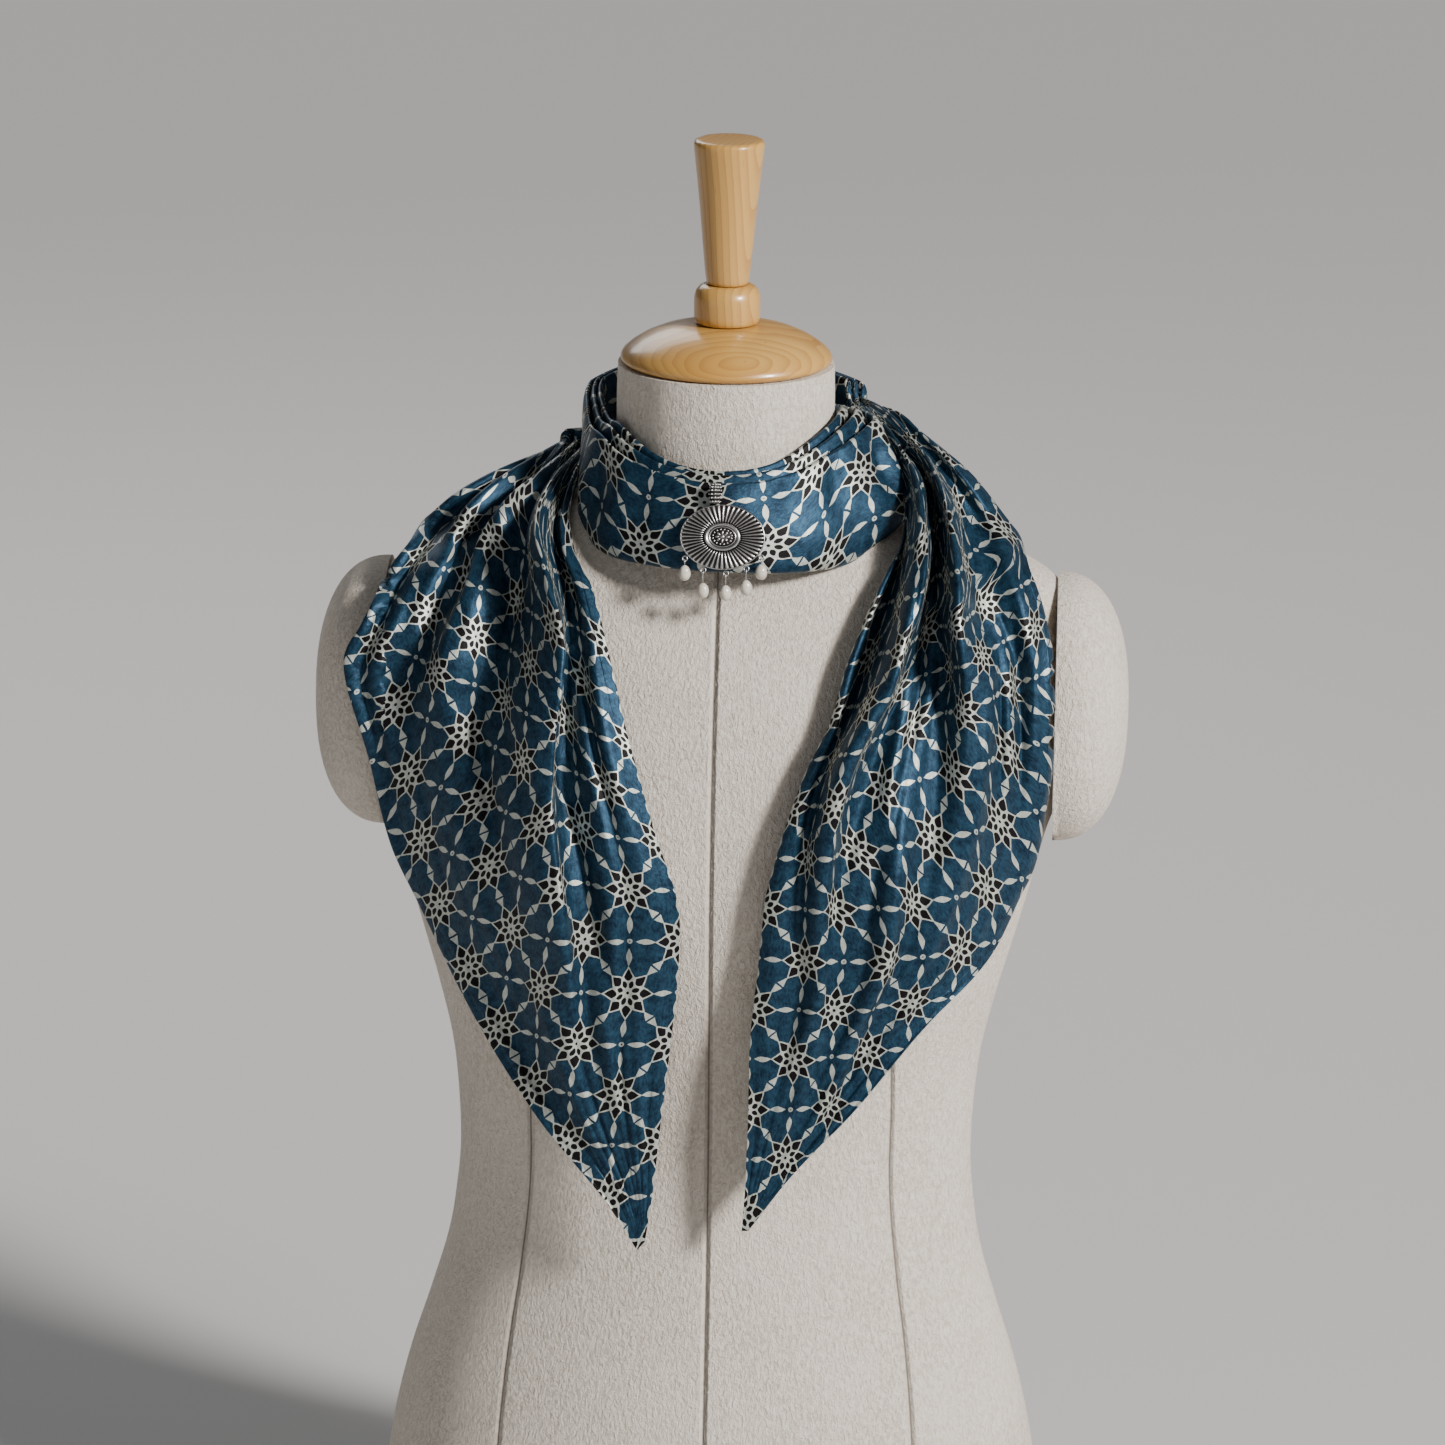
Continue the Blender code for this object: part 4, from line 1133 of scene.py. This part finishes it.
# %% Drape
TAIL_ROWS = 230
TAIL_COLUMNS = 150
COARSE_ROWS = 46
COARSE_COLUMNS = 20
FALL_STEPS = 16
FALL_BACK = 0.0008
BEHIND_ALL = 1.0
TAIL_STAND_OFF = 0.0032
TAIL_CLEAR = 0.0036
ROOT_CRUSH = 0.6
SEAT_SAMPLES = [(0, 0), (-0.006, 0), (0.006, 0), (0, -0.008)]


def form_front(x, z):
    """How far forward the form reaches at x and z."""
    hit = form_tree.ray_cast(Vector((x, -1.0, z)), Vector((0, 1, 0)))[0]
    return hit.y if hit else BEHIND_ALL


def fall_forward(edges, u, along):
    """Point of the cloth without folds: it falls from the form's foremost part."""
    forward = BEHIND_ALL
    for step in range(FALL_STEPS + 1):
        above = along * step / FALL_STEPS
        inner_x, inner_z, outer_x, outer_z, inner_y, outer_y = (
            mm(table_value(edges, above, column)) for column in range(1, 7)
        )
        x = inner_x + (outer_x - inner_x) * u
        z = inner_z + (outer_z - inner_z) * u
        limit = inner_y + (outer_y - inner_y) * u
        reach = min(form_front(x + dx, z + dz) for dx, dz in SEAT_SAMPLES)
        forward = min(forward + FALL_BACK, reach, limit)
    return np.array((x, forward - TAIL_STAND_OFF, z))


def drape(edges):
    """Coarse grid of the cloth without folds, straight across at the neck and the tip."""
    length = edges[-1][0]
    shares = np.linspace(0, 1, COARSE_COLUMNS + 1)
    rows = []
    for along in np.linspace(0, length, COARSE_ROWS + 1):
        row = np.array([fall_forward(edges, u, along) for u in shares])
        chord = row[0] + (row[-1] - row[0]) * shares[:, None]
        at_neck = 1 - smooth_step(100, 190, along)
        row = row + (chord - row) * at_neck
        at_tip = smooth_step(0.6 * length, length, along)
        row[:, 1] += (row[0, 1] - row[:, 1]) * at_tip
        rows.append(row)
    return soften(np.array(rows), 3)


def fold_heights(folds, along, share):
    """Height and lean of all folds together, at one length, for shares across."""
    total = np.zeros_like(share)
    lean = np.zeros_like(share)
    for fold in folds:
        centre, height, inner, outer, side = (table_value(fold, along, column) for column in range(1, 6))
        across = (share - centre) / np.where(share < centre, inner, outer)
        bell = np.exp(-np.abs(across) ** 2.5)
        total += (height * bell) ** 4
        lean += side * height * bell * bell
    return total ** 0.25, lean


# %% Tails
# node, edges, folds, pleats, wandering folds, corner, sections of the nape, seed
TAILS = [
    ("tail_left", LEFT_TAIL_EDGES, LEFT_FOLDS, LEFT_PLEATS, LEFT_WANDER, LEFT_CORNER,
     NAPE_INNER_SECTIONS, 1.0),
    ("tail_right", RIGHT_TAIL_EDGES, RIGHT_FOLDS, RIGHT_PLEATS, RIGHT_WANDER, RIGHT_CORNER,
     NAPE_OUTER_SECTIONS, 5.0),
]
AVERAGED_ROWS = 25
DEEPENING_STEPS = 8
FULL_REACH = 0.045
HEM_CALM = 22.0
HEM_CREASES = 0.08
TAIL_CREASE_SIZE = 0.9


def running_mean(values):
    """Averages each row's value with those of the rows round it."""
    padded = np.pad(values, AVERAGED_ROWS // 2, mode="edge")
    return np.convolve(padded, np.full(AVERAGED_ROWS, 1 / AVERAGED_ROWS), mode="valid")


def row_length(row):
    return float(np.linalg.norm(np.diff(row, axis=0), axis=1).sum())


def cloth_across(points, widths):
    """Place across the cloth (mm) of each point: what a row lacks is in its steep sides."""
    steps = np.diff(points, axis=1)
    lengths = np.linalg.norm(steps, axis=2)
    chords = points[:, -1] - points[:, 0]
    chords /= np.linalg.norm(chords, axis=1, keepdims=True)
    advance = (steps * chords[:, None]).sum(axis=2)
    steep = soften((1 - np.clip(advance / lengths, 0, 1)) ** 2, 6)
    lacking = mm(widths) - lengths.sum(axis=1)
    hidden = running_mean(np.clip(lacking / (lengths * steep).sum(axis=1), 0, MOST_HIDDEN))
    weights = lengths * (1 + hidden[:, None] * steep)
    across = np.concatenate([np.zeros((len(points), 1)), np.cumsum(weights, axis=1)], axis=1)
    return across / across[:, -1:] * widths[:, None]


def fold_moves(row, along, share, side, folds, pleats, wander, seed):
    """How far its folds move each point of a row: out from the form, and sideways."""
    chord = row[-1] - row[0]
    reach = np.linalg.norm(chord)
    turn = smooth_step(20, 130, along)
    outward = np.array((side * 0.5, -0.5, 0.6)) * (1 - turn) + np.array((0.0, -1.0, 0.12)) * turn
    squareness = 1 - 0.8 * turn
    outward -= chord * (squareness * (outward @ chord) / reach ** 2)
    outward /= np.linalg.norm(outward)
    height, lean = fold_heights(folds, along, share)
    pleat = table_value(pleats, along, 1)
    height = height + pleat * (0.5 - 0.5 * np.cos(2 * math.pi * PLEATS * share))
    places = [Vector((FLAT_WIDTH * u * WANDER_ACROSS, along * WANDER_ALONG, seed + 20)) for u in share]
    height = height + table_value(wander, along, 1) * np.array([
        1.0 + 1.6 * noise.noise(place) for place in places
    ])
    slack = min(1.0, reach / FULL_REACH)
    return outward * mm(height * slack)[:, None] + (chord / reach) * mm(lean * slack)[:, None]


def deepen(row, moves, goal):
    """How much its folds are deepened, for a row to take up a length of cloth."""
    least, most = 1.0, MOST_DEEPENING
    for _ in range(DEEPENING_STEPS):
        middle = (least + most) / 2
        if row_length(row + moves * middle) < goal:
            least = middle
        else:
            most = middle
    return least


def build_tail(node, edges, folds, pleats, wander, corner, sections, seed):
    length = edges[-1][0]
    side = 1 if edges[0][1] > 0 else -1
    first, last = sections[0][0], sections[-1][0]
    seam = math.degrees(2 * SEAM_GAP / mm(sections[-1][1]))
    end = last + (seam if last > first else -seam)
    share = np.linspace(0, 1, TAIL_COLUMNS + 1)
    alongs = np.linspace(0, length, TAIL_ROWS + 1)
    widths = FLAT_WIDTH - np.maximum(0.0, alongs - corner)
    base = refine(refine(drape(edges), TAIL_ROWS + 1, 0), TAIL_COLUMNS + 1, 1)
    moves = np.array([
        fold_moves(row, along, share, side, folds, pleats, wander, seed) for row, along in zip(base, alongs)
    ])
    deepening = running_mean([
        deepen(row, moved, mm(width) * FULLNESS) for row, moved, width in zip(base, moves, widths)
    ])
    points = base + moves * deepening[:, None, None]
    for row, along in zip(points, alongs):
        spread = smooth_step(8, 75, along)
        if spread < 1:
            root = strip_row(sections, end, ROOT_CRUSH * float(smooth_step(0, 20, along)))
            row[:] = root + (row - root) * spread
    points = soften(points, 2)

    from_inner = cloth_across(points, widths)
    from_outer = widths[:, None] - from_inner
    cloth = np.stack([from_inner, np.broadcast_to(alongs[:, None], from_inner.shape)], axis=2)
    slanted = alongs[:, None] > corner
    edge = np.minimum(from_inner, np.where(slanted, from_outer * math.sqrt(0.5), from_outer))
    shown = arc_lengths(points)[1][:, 0] * 1000
    calm = smooth_step(0.0, HEM_CALM, edge)[:, :, None]
    creased = crumple(points, cloth, seed, TAIL_CREASE_SIZE)
    points = points + (creased - points) * (HEM_CREASES + (1 - HEM_CREASES) * calm)
    points = keep_clear(points, TAIL_CLEAR)
    area = float(np.minimum(widths, shown / LEAST_SHOWN).mean()) * length * 1e-6
    shown_area = shown.sum() * length / TAIL_ROWS * 1e-6
    print(node, "has", round(float(shown_area), 4), "square metres, cut from", round(area, 4))
    build_cloth(node, points, cloth, edge, (mm(FLAT_WIDTH), mm(length)))


for tail in TAILS:
    build_tail(*tail)

# %% [markdown]
# ## The brooch
# The plate was stamped, oxidised until dark, and rubbed bright again on its high parts.
# Each metal piece therefore carries a wear value: 1 on ridges and rims, 0 in grooves,
# worked out from the shape while it is made. The shader only mixes two finishes by it.

# %% Oxidised silver and pearl
TARNISH = (0.030, 0.028, 0.028)
RUBBED_SILVER = (0.62, 0.61, 0.60)
PEARL_WARM = (0.66, 0.61, 0.51)
PEARL_PALE = (0.78, 0.75, 0.67)
# painted shade: the darker colour each pearl takes at its rim, where it turns away from the view
PEARL_RIM_SHADE = (0.40, 0.36, 0.31)


def make_silver():
    material, tree = new_material("oxidised_silver")
    patch = noise_value(object_place(tree), 900.0, 3.0, 0.6)
    bright = remap((patch - 0.5) * 0.55 + attribute(tree, "wear", "Fac"), 0.25, 0.85)
    return dress(material, {
        "Base Color": mix_colour(bright, TARNISH, RUBBED_SILVER),
        "Roughness": 0.55 - bright * 0.26,
        "Normal": bump(patch, 0.0001, 0.4),
        "Metallic": 1.0,
    })


def make_pearl():
    material, tree = new_material("pearl")
    cloud = noise_value(object_place(tree), 260.0, 3.0, 0.55)
    # painted shade: the nacre colour darkens towards the pearl's rim by how far the surface turns from the
    # view
    facing = add_node(tree, "ShaderNodeLayerWeight", "Facing", {"Blend": 0.35})
    nacre = mix_colour(remap(cloud, 0.35, 0.7), PEARL_WARM, PEARL_PALE)
    return dress(material, {
        "Base Color": mix_colour(facing, nacre, PEARL_RIM_SHADE),
        "Normal": bump(cloud, 0.0004, 0.25),
        "Roughness": 0.24,
        "Subsurface Weight": 0.15,
        "Subsurface Radius": (0.002, 0.0015, 0.001),
        "Coat Weight": 0.6,
        "Coat Roughness": 0.12,
    })


silver = make_silver()
pearl = make_pearl()
print("brooch materials", silver.name, pearl.name)

# %% Plate and boss
BROOCH_CENTRE = Vector((0.003, -0.0883, 0.6150))
BROOCH_LEAN = math.radians(20)
PLATE_HALF_WIDTH = 21.8
PLATE_HALF_HEIGHT = 16.7
FLUTES = 48
BOSS_LIFT = 1.6
BOSS_HALF_WIDTH = 9.5
BOSS_HALF_HEIGHT = 7.3
BOSS_STEPS = 36


def on_plate(x, up, out):
    """World point from a place on the brooch's plate, all in mm."""
    lean_sin, lean_cos = math.sin(BROOCH_LEAN), math.cos(BROOCH_LEAN)
    return BROOCH_CENTRE + Vector((
        mm(x),
        mm(up) * lean_sin - mm(out) * lean_cos,
        mm(up) * lean_cos + mm(out) * lean_sin,
    ))


# share of the radius, height over the back, wave of the flutes or granules, wear
PLATE_RINGS = [
    (0.00, 1.2, 0.00, 0.4), (0.40, 1.2, 0.00, 0.2), (0.435, 1.3, 0.05, 0.1), (0.455, 1.7, 0.30, 0.4),
    (0.55, 1.8, 0.45, 0.45), (0.68, 1.75, 0.52, 0.45), (0.82, 1.6, 0.55, 0.45), (0.93, 1.4, 0.50, 0.5),
    (0.955, 1.3, 0.30, 0.3), (0.965, 1.35, 0.05, 0.3), (0.978, 1.6, 0.00, 0.9), (0.992, 1.45, 0.00, 0.8),
    (1.00, 0.9, 0.00, 0.4), (0.99, 0.3, 0.00, 0.3), (0.93, 0.0, 0.00, 0.3), (0.00, 0.0, 0.00, 0.3),
]
BOSS_RINGS = [
    (0.00, 1.9, 0.00, 0.5), (0.30, 1.75, 0.00, 0.3), (0.50, 1.3, 0.00, 0.1), (0.62, 0.8, 0.00, 0.0),
    (0.66, 0.9, 0.00, 0.1), (0.69, 1.5, 0.00, 0.9), (0.72, 1.5, 0.00, 0.9), (0.74, 1.0, 0.00, 0.1),
    (0.78, 1.2, 0.00, 0.4), (0.86, 1.9, 0.00, 0.9), (0.93, 1.8, 0.00, 0.9), (0.98, 1.1, 0.00, 0.5),
    (1.00, 0.0, 0.00, 0.1), (0.00, 0.0, 0.00, 0.1),
]


def wear_mesh():
    """Empty bmesh whose vertices carry a wear value, and the layer that holds it."""
    bm = bmesh.new()
    return bm, bm.verts.layers.float.new("wear")


def build_relief(name, rings, half_width, half_height, waves, lift, nodes):
    """Closed oval relief: a ring table turned round the plate's axis."""
    bm, layer = wear_mesh()
    steps = len(rings) - 1
    bmesh.ops.create_grid(bm, x_segments=waves * 6, y_segments=steps, size=0.5)
    for vertex in bm.verts:
        turn = (vertex.co.x + 0.5) * 2 * math.pi
        share, height, wave, wear = rings[round((vertex.co.y + 0.5) * steps)]
        crest = math.cos(waves * turn)
        vertex[layer] = wear + (0.45 * crest if wave else 0.0)
        x = share * half_width * math.sin(turn)
        up = share * half_height * math.cos(turn)
        vertex.co = on_plate(x, up, height + wave * crest + lift)
    bmesh.ops.remove_doubles(bm, verts=bm.verts, dist=MERGE_DISTANCE)
    bmesh.ops.recalc_face_normals(bm, faces=bm.faces)
    make_piece(name, bm, silver, nodes)


build_relief("brooch_plate", PLATE_RINGS, PLATE_HALF_WIDTH, PLATE_HALF_HEIGHT, FLUTES, 0.0, ["medallion"])
build_relief("brooch_boss", BOSS_RINGS, BOSS_HALF_WIDTH, BOSS_HALF_HEIGHT, BOSS_STEPS, BOSS_LIFT, ["boss"])

# %% [markdown]
# The rosette on the boss is generic: a bead, eight petals and a ring of granules, as a
# jeweller would solder them. All are small squashed spheres in one bmesh, and so are
# the bail's beads.

# %% Rosette and bail
ROSETTE_TOP = BOSS_LIFT + 1.6
PETALS = 8
GRANULES = 16


def add_bead(bm, layer, centre, half_sizes, turn=0.0, wear=0.85, segments=12):
    """Squashed sphere that lies on the plate: centre x, up, out and half sizes in mm."""
    rings = segments // 2 + 2
    made = bmesh.ops.create_uvsphere(bm, u_segments=segments, v_segments=rings, radius=1.0)["verts"]
    for vertex in made:
        x, up, out = (value * size for value, size in zip(vertex.co, half_sizes))
        vertex[layer] = wear * (0.35 + 0.65 * max(0.0, vertex.co.z))
        across = x * math.cos(turn) - up * math.sin(turn)
        upward = x * math.sin(turn) + up * math.cos(turn)
        vertex.co = on_plate(centre[0] + across, centre[1] + upward, centre[2] + out)


def build_rosette():
    bm, layer = wear_mesh()
    add_bead(bm, layer, (0, 0, ROSETTE_TOP + 0.3), (1.2, 1.0, 0.7))
    for index in range(PETALS):
        turn = index * 2 * math.pi / PETALS
        place = (2.7 * math.cos(turn), 2.05 * math.sin(turn), ROSETTE_TOP - 0.05)
        add_bead(bm, layer, place, (1.2, 0.58, 0.55), turn)
    for index in range(GRANULES):
        turn = (index + 0.5) * 2 * math.pi / GRANULES
        place = (4.9 * math.cos(turn), 3.75 * math.sin(turn), ROSETTE_TOP - 0.5)
        add_bead(bm, layer, place, (0.6, 0.55, 0.55), 0, 0.8, 8)
    make_piece("brooch_rosette", bm, silver, [])


BAIL_ACROSS = -4.2
BAIL_OUT = 2.7
# height over the plate's top edge, half width and half depth of each bead (mm)
BAIL_BEADS = [
    (1.2, 2.9, 2.4), (3.1, 3.5, 2.8), (5.0, 3.7, 2.9), (6.9, 3.6, 2.8), (8.5, 3.2, 2.6), (9.9, 2.8, 2.3),
]


def build_bail():
    bm, layer = wear_mesh()
    for height, width, depth in BAIL_BEADS:
        up = PLATE_HALF_HEIGHT + height
        add_bead(bm, layer, (BAIL_ACROSS, up, BAIL_OUT), (width, 1.15, depth), 0, 0.55, 16)
        for index in range(5):
            turn = (index - 2) * 0.55
            x = BAIL_ACROSS + width * 0.92 * math.sin(turn)
            out = BAIL_OUT + depth * 0.9 * math.cos(turn)
            add_bead(bm, layer, (x, up, out), (0.55, 0.6, 0.5), 0, 0.95, 8)
    make_piece("brooch_bail", bm, silver, ["bail"])


build_rosette()
build_bail()

# %% [markdown]
# Each drop hangs from an eyelet by a wire link, and both are bent rings of thin wire.
# The pearls are freshwater ones, so none is quite round or quite smooth.

# %% Rings and pearls
# place across and up from the plate's centre, and extra length of the link (mm)
EYELETS = [(-18.9, -11.3, 0.0), (-9.4, -17.0, 3.2), (2.2, -18.5, 2.6), (12.6, -15.8, 2.4), (20.2, -9.9, 0.0)]
EYELET_OUT = 0.7
EYELET_WIRE = 0.38
RING_RADIUS = 1.25
RING_WEAR = 0.7
LINK_WIRE = 0.32
LINK_CLEARANCE = 0.15
PEARL_HALF_WIDTH = 3.1
PEARL_HALF_HEIGHT = 4.1
PEARL_DENT = 0.035
PEARL_TAPER = 0.06


def build_ring(node, centre, across, upward, half_height, wire, body=ROOT):
    """Closed wire ring in the plane of two directions, stretched along the second."""
    bm, layer = wear_mesh()
    outward = across.cross(upward)
    bmesh.ops.create_circle(bm, cap_ends=False, segments=10, radius=mm(wire))
    for vertex in bm.verts:
        vertex.co = Vector((vertex.co.x + mm(RING_RADIUS), 0, vertex.co.y))
    bmesh.ops.spin(
        bm, geom=bm.verts[:] + bm.edges[:], cent=(0, 0, 0), axis=(0, 0, 1), angle=2 * math.pi,
        steps=28, use_merge=True,
    )
    for vertex in bm.verts:
        x, y, z = vertex.co
        stretch = math.copysign(mm(half_height - RING_RADIUS), y) if abs(y) > 1e-7 else 0.0
        vertex.co = centre + across * x + upward * (y + stretch) + outward * z
        vertex[layer] = RING_WEAR
    bmesh.ops.recalc_face_normals(bm, faces=bm.faces)
    make_piece(f"{node}_wire", bm, silver, [node], body)


def build_pearl(index, pivot, top):
    bm = bmesh.new()
    bmesh.ops.create_uvsphere(bm, u_segments=36, v_segments=24, radius=1.0)
    for vertex in bm.verts:
        x, y, z = vertex.co
        dent = 1 + PEARL_DENT * noise.noise(vertex.co * 1.4 + Vector((index * 7.0, 0, 0)))
        half_width = mm(PEARL_HALF_WIDTH) * (1.0 - PEARL_TAPER * z) * dent
        vertex.co = Vector((x * half_width, y * half_width, top + (z - 1) * mm(PEARL_HALF_HEIGHT))) + pivot
    make_piece(f"pearl_{index}_drop", bm, pearl, [f"pearl_{index}"], f"drop_{index}")


def build_drop(index, x, up, extra):
    lean_up = Vector((0, math.sin(BROOCH_LEAN), math.cos(BROOCH_LEAN)))
    right, forward, upright = Vector((1, 0, 0)), Vector((0, 1, 0)), Vector((0, 0, 1))
    centre = on_plate(x, up, EYELET_OUT)
    build_ring(f"eyelet_{index}", centre, right, lean_up, RING_RADIUS, EYELET_WIRE)
    pivot = centre - lean_up * mm(RING_RADIUS)
    link_top = EYELET_WIRE + LINK_WIRE + LINK_CLEARANCE
    half_height = RING_RADIUS + extra / 2
    middle = pivot + upright * mm(link_top - half_height)
    build_ring(f"link_{index}", middle, forward, upright, half_height, LINK_WIRE, f"drop_{index}")
    build_pearl(index, pivot, mm(link_top - 2 * half_height - LINK_WIRE) - SEAM_GAP)


for number, eyelet in enumerate(EYELETS, start=1):
    build_drop(number, *eyelet)
